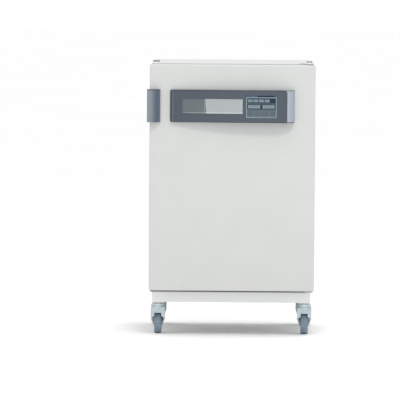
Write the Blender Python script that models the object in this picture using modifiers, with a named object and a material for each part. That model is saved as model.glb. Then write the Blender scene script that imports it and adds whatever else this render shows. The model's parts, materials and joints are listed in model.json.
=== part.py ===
"""Carbon dioxide incubator on four casters, in metres, +Z up, with its front towards -Y.

The pieces are modelled in cabinet coordinates: X = 0 is the middle of the door, Y = 0 the front plane of
the cabinet and Z = 0 the floor. One empty carries them all and centres the whole on the origin.
"""
import math

import bmesh
import bpy
from mathutils import Matrix, Vector

GAP = 0.0003                    # clearance between two faces that meet

# Casters
WHEEL_RADIUS = 0.050
WHEEL_WIDTH = 0.030
WHEEL_SIDES = 32
TYRE_THICKNESS = 0.016
AXLE_RADIUS = 0.005
CASTER_HEIGHT = 0.1305          # floor to the underside of the base frame
CASTER_INSET_X = 0.032          # swivel axis from the cabinet's sides
CASTER_INSET_Y = 0.045          # swivel axis from the front and rear planes
CASTER_TRAIL = 0.030
KINGPIN_RADIUS = 0.008
KINGPIN_LENGTH = 0.011
CASTER_PLATE = 0.004
CASTER_PLATE_LENGTH = 0.064
SWIVEL_GAP = 0.004
SWIVEL_HEAD_RADIUS = 0.0275
SWIVEL_HEAD_HEIGHT = 0.0135
SWIVEL_HEAD_EDGE = 0.004
FORK_WIDTH = 0.0575
FORK_FOOT_WIDTH = 0.037
FORK_FOOT_RADIUS = 0.0165
FORK_SHOULDER = 0.062           # level at which the fork reaches its full width
FORK_FRONT = 0.026              # fork's front edge ahead of the swivel axis
FORK_LIP = 0.008                # depth of the lip across the fork's front
LIP_OPENING_WIDTH = 0.042
LIP_OPENING_TOP = 0.0705
LIP_NOTCH_WIDTH = 0.028
LIP_NOTCH_TOP = 0.085
FORK_CROWN = 0.0055             # thickness over the wheel
WHEEL_CLEARANCE = 0.0004

# Base frame
BASE_INSET = 0.008              # base frame from the cabinet's sides
BASE_HEIGHT = 0.041
BASE_RAIL = 0.050
BASE_WALL = 0.003
BASE_GUSSET = 0.040

# Cabinet
CABINET_WIDTH = 0.656
CABINET_DEPTH = 0.680
CABINET_HEIGHT = 0.9222
CASING_WALL = 0.0015
CASING_CORNER = 0.006
FRAME_DEPTH = 0.010

# Chamber
CHAMBER_SIDE = 0.078            # chamber from the cabinet's sides
CHAMBER_REAR = 0.078            # and from its rear
CHAMBER_LIFT = 0.0837           # chamber floor above the cabinet's underside
CHAMBER_DROP = 0.098            # chamber ceiling below the cabinet's top
CHAMBER_CORNER = 0.042
LINER_WALL = 0.0015
LINER_SETBACK = 0.002           # front edge of the liner behind the frame's face
SEAL_WIDTH = 0.008
SEAL_HEIGHT = 0.006

# Shelves, racks and tray
SHELF_SHARES = (0.257, 0.507, 0.757)    # shelf levels as shares of the chamber's height
UPRIGHT_WIDTH = 0.020
UPRIGHT_DEPTH = 0.008
UPRIGHT_INSET = 0.080           # uprights from the front and rear of the chamber
BRACKET_REACH = 0.018
BRACKET_WALL = 0.002
BRACKET_LIP = 0.012
SLOT_PITCH = 0.050              # slots of an upright
SLOT_WIDTH = 0.007
SLOT_HEIGHT = 0.012
SHELF_MARGIN = 0.040            # shelf from the chamber's mouth and rear wall
SHELF_FRAME = 0.008
SHELF_THICKNESS = 0.006
SHELF_FRONT_HEIGHT = 0.014
SHELF_BAR_SHARES = (1 / 3, 2 / 3)    # cross bars as shares of the shelf's depth
SHELF_RODS = 23
SHELF_ROD_RADIUS = 0.0016
TRAY_MARGIN_X = 0.050           # tray from the chamber's side walls
TRAY_MARGIN_Y = 0.085           # and from its mouth and rear wall
TRAY_HEIGHT = 0.045
TRAY_CORNER = 0.030
TRAY_EDGE = 0.010
TRAY_RIM = 0.004
TRAY_WALL = 0.0012

# Fan, sensor and port
FAN_FROM_BACK = 0.272
FAN_RADIUS = 0.052
FAN_HEIGHT = 0.022
FAN_BLADES = 8
FAN_SHAFT_RADIUS = 0.004
MOTOR_RADIUS = 0.036
MOTOR_HEIGHT = 0.048
SHROUD_RADIUS = 0.064
SHROUD_HEIGHT = 0.044
SHROUD_WALL = 0.002
SHROUD_SLOTS = 12
SENSOR_X = 0.110
SENSOR_RADIUS = 0.006
SENSOR_LENGTH = 0.070
PORT_X = -0.110
PORT_HEIGHT = 0.560             # above the chamber floor
PORT_RADIUS = 0.021
PORT_WALL = 0.003
PORT_FLANGE = 0.034
NOZZLE_X = 0.200
NOZZLE_Z = 0.900
NOZZLE_REACH = 0.026
NOZZLE_STEM = 0.0036
NOZZLE_BARB_PITCH = 0.0045
INLET_X = 0.200
INLET_Z = 0.330
INLET_WIDTH = 0.050
INLET_HEIGHT = 0.028
INLET_DEPTH = 0.014

# Outer door
DOOR_OVERHANG = 0.005           # door past the cabinet's sides
DOOR_THICKNESS = 0.056
DOOR_GAP = 0.012                # door's back to the cabinet's front
DOOR_BOTTOM_LIFT = 0.0095       # above the base frame
DOOR_TOP_DROP = 0.002           # below the cabinet's top
DOOR_EDGE = 0.005
DOOR_SKIN = 0.0015
RECESS_ROOM_X = 0.018           # recess past the glass door at the sides
RECESS_ROOM_Z = 0.017           # and above and below
RECESS_DEPTH = 0.022
RECESS_CORNER = 0.040
RECESS_EDGE = 0.012
DOOR_LINER_WALL = 0.002
GASKET_WIDTH = 0.012
GASKET_MARGIN_X = 0.027         # gasket from the door's side edges
GASKET_MARGIN_Z = 0.028         # gasket from the door's top and bottom edges

# Outer hinges
HINGE_INSET_X = 0.021           # axis from the door's side
HINGE_INSET_Y = 0.028           # axis from the door's back
HINGE_PIN_RADIUS = 0.005
HINGE_PIN_LENGTH = 0.022
BUSH_WALL = 0.003
BUSH_FLANGE = 0.011
HINGE_PLATE = 0.003
LOWER_HINGE_PLATE = 0.005
LOWER_HINGE_GAP = 0.002         # lower hinge plate below the door
LOWER_LEAF_HEIGHT = 0.027
HINGE_HALF_WIDTH = 0.016

# Glass door
GLASS_LAP_X = 0.012             # glass over the frame at the sides
GLASS_LAP_Z = 0.013             # and above and below
GLASS_THICKNESS = 0.005
GLASS_CORNER = 0.030
GLASS_HINGE_Y = -0.011
GLASS_HINGE_INSET_Z = 0.085
GLASS_BARREL_RADIUS = 0.0047
GLASS_PIN_RADIUS = 0.002
GLASS_CLIP_HEIGHT = 0.036
GLASS_CLIP_WIDTH = 0.024
GLASS_EAR = 0.004
KNOB_INSET = 0.030              # knob from the glass door's free edge
KNOB_RADIUS = 0.012
KNOB_LENGTH = 0.016

# Console on the door
CONSOLE_LEFT = -0.250
CONSOLE_SPLIT = 0.2205
CONSOLE_RIGHT = 0.250
CONSOLE_DROP = 0.2315           # console's underside below the door's top
CONSOLE_HEIGHT = 0.1305
CONSOLE_PEAK_X = 0.142
CONSOLE_PEAK = 0.048            # how far its front stands off the door
CONSOLE_LEFT_STAND = 0.012
CONSOLE_SPLIT_STAND = 0.040
CONSOLE_RIGHT_STAND = 0.010
CONSOLE_WALL = 0.003
CONSOLE_EDGE = 0.003
WINDOW_LEFT = -0.203
WINDOW_RIGHT = 0.0415
WINDOW_LIFT = 0.035             # window above the console's underside
WINDOW_HEIGHT = 0.0605
WINDOW_SETBACK = 0.001
WINDOW_THICKNESS = 0.003
KEYPAD_LEFT = 0.054
KEYPAD_RIGHT = 0.178
KEYPAD_LIFT = 0.0188            # keypad above the console's underside
KEYPAD_HEIGHT = 0.092
KEYPAD_THICKNESS = 0.004
KEY_COUNT = 4
KEY_WIDTH = 0.021
KEY_HEIGHT = 0.018
KEY_LENGTH = 0.007
KEY_PROUD = 0.0015
KEY_TRAVEL = 0.001
KEY_LIFT = 0.009                # keys above the keypad's lower edge
BOARD_THICKNESS = 0.002

# Handle on the door
HANDLE_OVERHANG = 0.011         # handle past the door's side
HANDLE_PIVOT_INSET = 0.0368     # pivot axis in from the door's side
HANDLE_PIVOT_STAND = 0.006      # pivot axis off the door's front
HANDLE_KNUCKLE = 0.0054
HANDLE_PEAK_INSET = 0.005       # crest in from the door's side
HANDLE_PEAK = 0.036
HANDLE_DROP = 0.2325            # handle's underside below the door's top
HANDLE_HEIGHT = 0.132
HANDLE_WALL = 0.0035
HANDLE_SIDE_REACH = 0.022       # how far it wraps back along the door's side
HANDLE_PIN_RADIUS = 0.002
LUG_THICKNESS = 0.006
LUG_RADIUS = 0.004
HANDLE_SWING = 24               # degrees kept clear on the door's side of the lugs

ARC_STEPS = 4                   # segments in a rounded corner
ROUND_STEPS = 24                # sides of a round piece

# Sizes, levels and planes that follow
BASE_WIDTH = CABINET_WIDTH - 2 * BASE_INSET
CASTER_X = CABINET_WIDTH / 2 - CASTER_INSET_X
CHAMBER_WIDTH = CABINET_WIDTH - 2 * CHAMBER_SIDE
CHAMBER_HEIGHT = CABINET_HEIGHT - CHAMBER_LIFT - CHAMBER_DROP
CHAMBER_DEPTH = CABINET_DEPTH - CHAMBER_REAR - LINER_SETBACK
SHELF_DEPTH = CHAMBER_DEPTH - 2 * SHELF_MARGIN
TRAY_WIDTH = CHAMBER_WIDTH - 2 * TRAY_MARGIN_X
TRAY_LENGTH = CHAMBER_DEPTH - 2 * TRAY_MARGIN_Y
GLASS_WIDTH = CHAMBER_WIDTH + 2 * GLASS_LAP_X
GLASS_HEIGHT = CHAMBER_HEIGHT + 2 * GLASS_LAP_Z
RECESS_WIDTH = GLASS_WIDTH + 2 * RECESS_ROOM_X
RECESS_HEIGHT = GLASS_HEIGHT + 2 * RECESS_ROOM_Z
DOOR_WIDTH = CABINET_WIDTH + 2 * DOOR_OVERHANG
DOOR_SIDE = DOOR_WIDTH / 2
BASE_TOP = CASTER_HEIGHT + BASE_HEIGHT
BODY_BOTTOM = BASE_TOP + GAP
BODY_TOP = BODY_BOTTOM + CABINET_HEIGHT
INSIDE_X = CABINET_WIDTH / 2 - CASING_WALL - GAP
INSIDE_BOTTOM = BODY_BOTTOM + CASING_WALL + GAP
INSIDE_TOP = BODY_TOP - CASING_WALL - GAP
CHAMBER_FLOOR = BODY_BOTTOM + CHAMBER_LIFT
CHAMBER_TOP = CHAMBER_FLOOR + CHAMBER_HEIGHT
CHAMBER_MIDDLE = CHAMBER_FLOOR + CHAMBER_HEIGHT / 2
CHAMBER_BACK = LINER_SETBACK + CHAMBER_DEPTH
PORT_Z = CHAMBER_FLOOR + PORT_HEIGHT
FAN_Y = CHAMBER_BACK - FAN_FROM_BACK
SHELF_FRONT_Y = LINER_SETBACK + SHELF_MARGIN
SHELF_LEVELS = [CHAMBER_FLOOR + CHAMBER_HEIGHT * share for share in SHELF_SHARES]
DOOR_BACK = -DOOR_GAP
DOOR_FRONT = DOOR_BACK - DOOR_THICKNESS
DOOR_BOTTOM = BASE_TOP + DOOR_BOTTOM_LIFT
DOOR_TOP = BODY_TOP - DOOR_TOP_DROP
DOOR_HEIGHT = DOOR_TOP - DOOR_BOTTOM
DOOR_MIDDLE = (DOOR_TOP + DOOR_BOTTOM) / 2
MOUNT_FACE = DOOR_FRONT - GAP   # back of what is fixed on the door's front
HINGE_X = DOOR_SIDE - HINGE_INSET_X
HINGE_Y = DOOR_BACK - HINGE_INSET_Y
BUSH_RADIUS = HINGE_PIN_RADIUS + GAP + BUSH_WALL
GLASS_BACK = -SEAL_HEIGHT - GAP
GLASS_FRONT = GLASS_BACK - GLASS_THICKNESS
GLASS_HINGE_X = GLASS_WIDTH / 2 + GAP + GLASS_BARREL_RADIUS + 0.001
KNOB_X = KNOB_INSET - GLASS_WIDTH / 2
HANDLE_LEFT = -DOOR_SIDE - HANDLE_OVERHANG
HANDLE_PEAK_X = HANDLE_PEAK_INSET - DOOR_SIDE
HANDLE_PIVOT_X = HANDLE_PIVOT_INSET - DOOR_SIDE
HANDLE_PIVOT_Y = DOOR_FRONT - HANDLE_PIVOT_STAND
HANDLE_BOTTOM = DOOR_TOP - HANDLE_DROP
CONSOLE_BOTTOM = DOOR_TOP - CONSOLE_DROP
WINDOW_BOTTOM = CONSOLE_BOTTOM + WINDOW_LIFT
KEYPAD_BOTTOM = CONSOLE_BOTTOM + KEYPAD_LIFT
KEYPAD_FRONT = MOUNT_FACE - CONSOLE_PEAK
KEY_REAR = KEYPAD_FRONT - KEY_PROUD + KEY_LENGTH
BOARD_FRONT = KEY_REAR + KEY_TRAVEL + GAP
AXLE_Z = WHEEL_RADIUS * math.cos(math.pi / WHEEL_SIDES)
HEAD_TOP = CASTER_HEIGHT - CASTER_PLATE - SWIVEL_GAP
CROWN_TOP = HEAD_TOP - SWIVEL_HEAD_HEIGHT
FRONT_REACH = -(KEYPAD_FRONT - KEY_PROUD)
REAR_REACH = CABINET_DEPTH + NOZZLE_REACH

FINISHES = {
    "white_paint": ((0.78, 0.79, 0.77), 0.38, 0.0),
    "grey_paint": ((0.52, 0.58, 0.62), 0.42, 0.0),
    "stainless": ((0.62, 0.64, 0.65), 0.22, 1.0),
    "zinc_plated": ((0.55, 0.58, 0.62), 0.35, 0.9),
    "foam": ((0.86, 0.82, 0.66), 0.90, 0.0),
    "silicone": ((0.82, 0.84, 0.84), 0.55, 0.0),
    "blue_silicone": ((0.28, 0.36, 0.44), 0.60, 0.0),
    "slate_plastic": ((0.115, 0.145, 0.175), 0.40, 0.0),
    "silver_plastic": ((0.42, 0.47, 0.52), 0.35, 0.2),
    "dark_plastic": ((0.05, 0.06, 0.07), 0.50, 0.0),
    "window": ((0.40, 0.43, 0.45), 0.15, 0.0),
    "key_plastic": ((0.18, 0.24, 0.28), 0.45, 0.0),
    "clear_glass": ((0.80, 0.90, 0.88), 0.05, 0.0),
    "tyre_rubber": ((0.15, 0.19, 0.24), 0.65, 0.0),
    "hub_plastic": ((0.45, 0.50, 0.54), 0.50, 0.0),
    "circuit_board": ((0.02, 0.16, 0.08), 0.50, 0.0),
}

# How a profile drawn in (x, y, z) is turned: its z axis ends up along the named direction
FACING = {
    "up": Matrix.Identity(4),
    "down": Matrix.Rotation(math.pi, 4, "X"),
    "front": Matrix.Rotation(math.pi / 2, 4, "X"),
    "back": Matrix.Rotation(-math.pi / 2, 4, "X"),
    "side": Matrix(((0, 0, 1, 0), (1, 0, 0, 0), (0, 1, 0, 0), (0, 0, 0, 1))),
}

for old in list(bpy.data.objects):
    bpy.data.objects.remove(old, do_unlink=True)

PARTS = bpy.data.collections.new("carbon_dioxide_incubator")
TOOLS = bpy.data.collections.new("cutters_and_joined_forms")
bpy.context.scene.collection.children.link(PARTS)
bpy.context.scene.collection.children.link(TOOLS)


def finish_material(name):
    """The Principled material of one finish, made once."""
    if name in bpy.data.materials:
        return bpy.data.materials[name]
    colour, roughness, metallic = FINISHES[name]
    made = bpy.data.materials.new(name)
    made.use_nodes = True
    shader = made.node_tree.nodes["Principled BSDF"]
    shader.inputs["Base Color"].default_value = (*colour, 1.0)
    shader.inputs["Roughness"].default_value = roughness
    shader.inputs["Metallic"].default_value = metallic
    made.diffuse_color = (*colour, 1.0)
    return made


def axis_empty(name, at, parent=None):
    """An empty at a joint's axis or at the cabinet's reference point, placed in cabinet coordinates."""
    empty = bpy.data.objects.new(name, None)
    empty.empty_display_size = 0.05
    PARTS.objects.link(empty)
    empty["place"] = at
    empty.parent = parent
    empty.location = Vector(at) - (Vector(parent["place"]) if parent else Vector())
    return empty


def link(piece, finish, carrier, at):
    """Link a piece under its carrier with its finish, or among the cutters where it has none."""
    (PARTS if finish else TOOLS).objects.link(piece)
    if finish:
        piece.data.materials.append(finish_material(finish))
    else:
        piece.hide_render = True
        piece.display_type = "WIRE"
    piece.parent = carrier
    piece.location = Vector(at) - Vector(carrier["place"])
    return piece


def put(name, shape, finish, carrier):
    """Turn a bmesh in cabinet coordinates into an object whose origin is the middle of its box."""
    corners = [vertex.co for vertex in shape.verts]
    low = Vector(min(co[i] for co in corners) for i in range(3))
    high = Vector(max(co[i] for co in corners) for i in range(3))
    middle = (low + high) / 2
    bmesh.ops.translate(shape, verts=shape.verts, vec=-middle)
    mesh = bpy.data.meshes.new(name)
    shape.to_mesh(mesh)
    shape.free()
    return link(bpy.data.objects.new(name, mesh), finish, carrier, middle)


def smooth(piece, angle=35):
    """Shade a round piece smooth, with the edges over an angle left sharp."""
    piece.data.shade_smooth()
    piece.data.set_sharp_from_angle(angle=math.radians(angle))
    return piece


def round_edges(piece, width, segments=2, angle=40):
    """Round a piece's edges with a Bevel modifier."""
    bevel = piece.modifiers.new("rounded_edges", "BEVEL")
    bevel.width = width
    bevel.segments = segments
    bevel.limit_method = "ANGLE"
    bevel.angle_limit = math.radians(angle)
    return piece


def combine(piece, others, operation):
    """Add one Boolean modifier for each of the other objects."""
    for other in others:
        boolean = piece.modifiers.new(other.name, "BOOLEAN")
        boolean.operation = operation
        boolean.object = other
    return piece


def cut(piece, *cutters):
    """Take the cutters out of a piece."""
    return combine(piece, cutters, "DIFFERENCE")


def fuse(piece, *forms):
    """Join forms to a piece as one solid."""
    return combine(piece, forms, "UNION")


def block(name, low, high, finish=None, carrier=None):
    """A box between two corners."""
    low, high = Vector(low), Vector(high)
    shape = bmesh.new()
    size = Matrix.Diagonal((*(high - low), 1.0))
    bmesh.ops.create_cube(shape, size=1.0, matrix=Matrix.Translation((low + high) / 2) @ size)
    return put(name, shape, finish, carrier or ROOT)


def rod(name, start, end, radius, finish=None, carrier=None, sides=ROUND_STEPS):
    """A cylinder between two points, with a flat of its polygon towards -Z or -Y."""
    start, end = Vector(start), Vector(end)
    along = end - start
    turn = along.to_track_quat("Z", "Y").to_matrix().to_4x4()
    spin = Matrix.Rotation(math.pi / sides, 4, "Z")
    shape = bmesh.new()
    bmesh.ops.create_cone(shape, cap_ends=True, segments=sides, radius1=radius, radius2=radius,
                          depth=along.length, matrix=Matrix.Translation((start + end) / 2) @ turn @ spin)
    return smooth(put(name, shape, finish, carrier or ROOT))


def slab(name, outlines, low, high, facing, finish=None, carrier=None):
    """A flat outline, with its holes, extruded from low to high along the axis that facing names."""
    curve = bpy.data.curves.new(name, "CURVE")
    curve.dimensions = "2D"
    curve.fill_mode = "BOTH"
    curve.extrude = (high - low) / 2
    for points in outlines:
        spline = curve.splines.new("POLY")
        spline.points.add(len(points) - 1)
        for point, (u, v) in zip(spline.points, points):
            point.co = (u, v, 0.0, 1.0)
        spline.use_cyclic_u = True
    holder = bpy.data.objects.new(name, curve)
    TOOLS.objects.link(holder)
    evaluated = holder.evaluated_get(bpy.context.evaluated_depsgraph_get())
    mesh = bpy.data.meshes.new_from_object(evaluated)
    bpy.data.objects.remove(holder)
    bpy.data.curves.remove(curve)
    shape = bmesh.new()
    shape.from_mesh(mesh)
    bpy.data.meshes.remove(mesh)
    bmesh.ops.remove_doubles(shape, verts=shape.verts, dist=1e-6)
    turn = FACING[facing]
    middle = turn @ Vector((0, 0, 1)) * (low + high) / 2
    if facing == "front":
        middle = Vector((0, (low + high) / 2, 0))
    bmesh.ops.transform(shape, verts=shape.verts, matrix=Matrix.Translation(middle) @ turn)
    bmesh.ops.recalc_face_normals(shape, faces=shape.faces)
    return put(name, shape, finish, carrier or ROOT)


def turned(name, profile, at, facing, finish=None, carrier=None, steps=ROUND_STEPS):
    """A profile of (radius, height) points, top to bottom on its outer side, turned about its axis."""
    mesh = bpy.data.meshes.new(name)
    edges = [(i, i + 1) for i in range(len(profile) - 1)]
    if profile[0][0] > 0.0:
        edges.append((len(profile) - 1, 0))
    mesh.from_pydata([(radius, 0.0, height) for radius, height in profile], edges, [])
    piece = link(bpy.data.objects.new(name, mesh), finish, carrier or ROOT, at)
    screw = piece.modifiers.new("turned", "SCREW")
    screw.steps = steps
    screw.render_steps = steps
    screw.use_merge_vertices = True
    screw.merge_threshold = 0.00001
    screw.use_smooth_shade = True
    spin = Matrix.Rotation(math.pi / steps, 4, "Z")
    piece.rotation_euler = (FACING[facing] @ spin).to_euler()
    return piece


def arc(centre, radius, start, stop, steps=ARC_STEPS):
    """Points on an arc, with its angles in degrees."""
    angles = [math.radians(start + (stop - start) * i / steps) for i in range(steps + 1)]
    return [(centre[0] + radius * math.cos(a), centre[1] + radius * math.sin(a)) for a in angles]


def rounded_rectangle(left, right, low, high, radius, steps=ARC_STEPS):
    """The outline of a rectangle with round corners, anticlockwise from its lower left corner."""
    points = arc((left + radius, low + radius), radius, 180, 270, steps)
    points += arc((right - radius, low + radius), radius, 270, 360, steps)
    points += arc((right - radius, high - radius), radius, 0, 90, steps)
    points += arc((left + radius, high - radius), radius, 90, 180, steps)
    return points


def rectangle(left, right, low, high):
    """The outline of a plain rectangle."""
    return [(left, low), (right, low), (right, high), (left, high)]


def centred(width, middle, height, radius, steps=ARC_STEPS):
    """A rounded rectangle that is centred on X = 0 and on a level."""
    return rounded_rectangle(-width / 2, width / 2, middle - height / 2, middle + height / 2, radius, steps)


def loft(name, sections, facing, finish=None, carrier=None, closed=False, caps=(False, True)):
    """A surface through sections, each an outline and its place along Y (front) or Z (up)."""
    shape = bmesh.new()
    rings = []
    for outline, level in sections:
        if facing == "front":
            ring = [shape.verts.new((u, level, v)) for u, v in outline]
        else:
            ring = [shape.verts.new((u, v, level)) for u, v in outline]
        rings.append(ring)
    pairs = list(zip(rings, rings[1:]))
    if closed:
        pairs.append((rings[-1], rings[0]))
    for first, second in pairs:
        count = len(first)
        for i in range(count):
            j = (i + 1) % count
            shape.faces.new((first[i], first[j], second[j], second[i]))
    if caps[0]:
        shape.faces.new(rings[0])
    if caps[1] and not closed:
        shape.faces.new(rings[-1])
    bmesh.ops.recalc_face_normals(shape, faces=shape.faces)
    middle = sum((vertex.co for vertex in shape.verts), Vector()) / len(shape.verts)
    outward = sum((face.calc_center_median() - middle).dot(face.normal) * face.calc_area()
                  for face in shape.faces)
    if outward < 0 and not closed:
        bmesh.ops.reverse_faces(shape, faces=shape.faces)
    return smooth(put(name, shape, finish, carrier or ROOT))


def thicken(piece, wall, outwards):
    """Give an open surface its wall, to its outer or inner side."""
    solidify = piece.modifiers.new("wall", "SOLIDIFY")
    solidify.thickness = wall
    solidify.offset = 1.0 if outwards else -1.0
    solidify.use_even_offset = True
    return piece


def tub_sections(width, middle, height, corner, edge, rim, floor, steps=ARC_STEPS):
    """Sections of a tub from its rim to a floor whose edge is rounded, for a loft along Y."""
    towards = 1 if floor > rim else -1
    sections = [(centred(width, middle, height, corner), rim)]
    for i in range(steps + 1):
        angle = math.pi / 2 * i / steps
        inset = edge * (1 - math.cos(angle))
        level = floor - towards * edge * (1 - math.sin(angle))
        radius = max(corner - inset, 0.001)
        sections.append((centred(width - 2 * inset, middle, height - 2 * inset, radius), level))
    return sections


ROOT = axis_empty("incubator", (0.0, 0.0, 0.0))
ROOT.location = (HANDLE_OVERHANG / 2, (FRONT_REACH - REAR_REACH) / 2, 0.0)
DOOR_AXIS = axis_empty("door_axis", (HINGE_X, HINGE_Y, DOOR_BOTTOM), ROOT)
HANDLE_AXIS = axis_empty("handle_axis", (HANDLE_PIVOT_X, HANDLE_PIVOT_Y, HANDLE_BOTTOM), DOOR_AXIS)
GLASS_AXIS = axis_empty("glass_door_axis", (GLASS_HINGE_X, GLASS_HINGE_Y, CHAMBER_MIDDLE), ROOT)
FAN_AXIS = axis_empty("fan_axis", (0.0, FAN_Y, CHAMBER_TOP), ROOT)


def inside_outline():
    """The outline of what fits inside the casing's wrap, seen from the front."""
    corner = CASING_CORNER - CASING_WALL
    return rounded_rectangle(-INSIDE_X, INSIDE_X, INSIDE_BOTTOM, INSIDE_TOP, corner)


def chamber_outline(grow):
    """The chamber's inside outline, grown all round."""
    return centred(CHAMBER_WIDTH + 2 * grow, CHAMBER_MIDDLE, CHAMBER_HEIGHT + 2 * grow,
                   CHAMBER_CORNER + grow)


def port_cutter():
    """The round way for the port sleeve through the rear walls."""
    front = CHAMBER_BACK - 0.010
    return rod("port_way", (PORT_X, front, PORT_Z), (PORT_X, CABINET_DEPTH + 0.010, PORT_Z),
               PORT_RADIUS + GAP)


def make_casing(port_way):
    """Outer sheets of the cabinet: the wrap, the floor pan, the rear cover and the front frame."""
    half, low, top = CABINET_WIDTH / 2, BODY_BOTTOM, BODY_TOP
    outer, inner = CASING_CORNER, CASING_CORNER - CASING_WALL
    edge_x, edge_z = half - CASING_CORNER, top - CASING_CORNER
    wrap = [(-half, low)] + arc((-edge_x, edge_z), outer, 180, 90) + arc((edge_x, edge_z), outer, 90, 0)
    wrap += [(half, low), (half - CASING_WALL, low)]
    wrap += arc((edge_x, edge_z), inner, 0, 90) + arc((-edge_x, edge_z), inner, 90, 180)
    wrap += [(-half + CASING_WALL, low)]
    slab("outer_casing", [wrap], 0.0, CABINET_DEPTH, "front", "white_paint")
    block("floor_pan", (-INSIDE_X, 0.0, BODY_BOTTOM), (INSIDE_X, CABINET_DEPTH, BODY_BOTTOM + CASING_WALL),
          "white_paint")
    cover = slab("rear_cover", [inside_outline()], CABINET_DEPTH - CASING_WALL, CABINET_DEPTH, "front",
                 "white_paint")
    cut(cover, port_way)
    opening = chamber_outline(LINER_WALL + GAP)
    slab("front_frame", [inside_outline(), opening], 0.0, FRAME_DEPTH, "front", "grey_paint")


def make_chamber(port_way):
    """The stainless liner, the foam round it and the seal round its mouth."""
    sections = tub_sections(CHAMBER_WIDTH, CHAMBER_MIDDLE, CHAMBER_HEIGHT, CHAMBER_CORNER, CHAMBER_CORNER,
                            LINER_SETBACK, CHAMBER_BACK)
    liner = thicken(loft("chamber_liner", sections, "front", "stainless"), LINER_WALL, True)
    shaft_way = rod("shaft_way", (0, FAN_Y, CHAMBER_TOP - 0.010), (0, FAN_Y, CHAMBER_TOP + 0.010),
                    FAN_SHAFT_RADIUS + 0.0015)
    cut(liner, port_way, shaft_way)
    jacket = slab("insulation_jacket", [inside_outline()], FRAME_DEPTH + GAP,
                  CABINET_DEPTH - CASING_WALL - GAP, "front", "foam")
    grow = LINER_WALL + GAP
    room = tub_sections(CHAMBER_WIDTH + 2 * grow, CHAMBER_MIDDLE, CHAMBER_HEIGHT + 2 * grow,
                        CHAMBER_CORNER + grow, CHAMBER_CORNER + grow, 0.0, CHAMBER_BACK + grow)
    hollow = loft("chamber_room", room, "front", caps=(True, True))
    pocket = rod("motor_pocket", (0, FAN_Y, CHAMBER_TOP - 0.010),
                 (0, FAN_Y, CHAMBER_TOP + grow + MOTOR_HEIGHT + GAP), MOTOR_RADIUS + 0.0005)
    cut(jacket, hollow, pocket, port_way)
    lip = SEAL_WIDTH / 3
    profile = [(grow + SEAL_WIDTH, -GAP), (grow + SEAL_WIDTH, lip - SEAL_HEIGHT),
               (grow + SEAL_WIDTH - lip, -SEAL_HEIGHT), (grow + lip, -SEAL_HEIGHT),
               (grow, lip - SEAL_HEIGHT), (grow, -GAP)]
    loft("chamber_seal", [(chamber_outline(out), level) for out, level in profile], "front", "silicone",
         closed=True)


def make_rack(name, side):
    """Two slotted uprights and a bracket for each shelf, as one welded rack against a side wall."""
    wall = side * (CHAMBER_WIDTH / 2 - GAP)
    face = wall - side * UPRIGHT_DEPTH
    low, high = CHAMBER_FLOOR + CHAMBER_CORNER + 0.003, CHAMBER_TOP - CHAMBER_CORNER - 0.003
    uprights = []
    for label, near in (("front", UPRIGHT_INSET), ("rear", CHAMBER_DEPTH - UPRIGHT_INSET - UPRIGHT_WIDTH)):
        corner = sorted((wall, face))
        made = block(f"{name}_{label}" if uprights else name, (corner[0], near, low),
                     (corner[1], near + UPRIGHT_WIDTH, high), None if uprights else "stainless")
        uprights.append(made)
        count = int((high - low) / SLOT_PITCH)
        shape = bmesh.new()
        for i in range(count):
            middle = Vector((wall, near + UPRIGHT_WIDTH / 2, low + SLOT_PITCH * (i + 0.5)))
            size = Matrix.Diagonal((3 * UPRIGHT_DEPTH, SLOT_WIDTH, SLOT_HEIGHT, 1.0))
            bmesh.ops.create_cube(shape, size=1.0, matrix=Matrix.Translation(middle) @ size)
        cut(made, put(f"{name}_{label}_slots", shape, None, ROOT))
    brackets = []
    y0, y1 = SHELF_FRONT_Y - 0.004, SHELF_FRONT_Y + SHELF_DEPTH + 0.004
    for number, level in enumerate(SHELF_LEVELS):
        web = face - side * BRACKET_WALL
        reach = face - side * BRACKET_REACH
        embed = face + side * 0.001
        section = [(embed, level - BRACKET_WALL), (embed, level + BRACKET_LIP), (web, level + BRACKET_LIP),
                   (web, level), (reach, level), (reach, level - BRACKET_WALL)]
        brackets.append(slab(f"{name}_bracket_{number}", [section], y0, y1, "front"))
    fuse(uprights[0], uprights[1], *brackets)


def make_shelf(name, level):
    """A wire shelf: a flat frame with a front strip, and rods from front to back over two cross bars."""
    half = CHAMBER_WIDTH / 2 - 2 * GAP - UPRIGHT_DEPTH - BRACKET_WALL
    low, high = level + GAP, level + GAP + SHELF_THICKNESS
    front, back = SHELF_FRONT_Y, SHELF_FRONT_Y + SHELF_DEPTH
    inner = half - SHELF_FRAME
    frame = slab(name, [rectangle(-half, half, front, back),
                        rectangle(-inner, inner, front + SHELF_FRAME, back - SHELF_FRAME)],
                 low, high, "up", "stainless")
    strip = block(f"{name}_strip", (-inner, front - 0.001, low + 0.001),
                  (inner, front + 0.002, low + SHELF_FRONT_HEIGHT))
    shape = bmesh.new()
    spacing = 2 * inner / (SHELF_RODS + 1)
    length = SHELF_DEPTH - 2 * SHELF_FRAME + 0.004
    turn = Matrix.Rotation(math.pi / 2, 4, "X")
    for i in range(SHELF_RODS):
        middle = Vector((-inner + spacing * (i + 1), (front + back) / 2, high - 0.002))
        bmesh.ops.create_cone(shape, cap_ends=True, segments=6, radius1=SHELF_ROD_RADIUS,
                              radius2=SHELF_ROD_RADIUS, depth=length,
                              matrix=Matrix.Translation(middle) @ turn)
    rods = put(f"{name}_rods", shape, None, ROOT)
    bars = []
    for share in SHELF_BAR_SHARES:
        middle = front + SHELF_DEPTH * share
        bars.append(block(f"{name}_bar_{len(bars)}", (-inner - 0.002, middle - 0.004, low + 0.0002),
                          (inner + 0.002, middle + 0.004, low + 0.0018)))
    fuse(frame, strip, rods, *bars)


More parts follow.
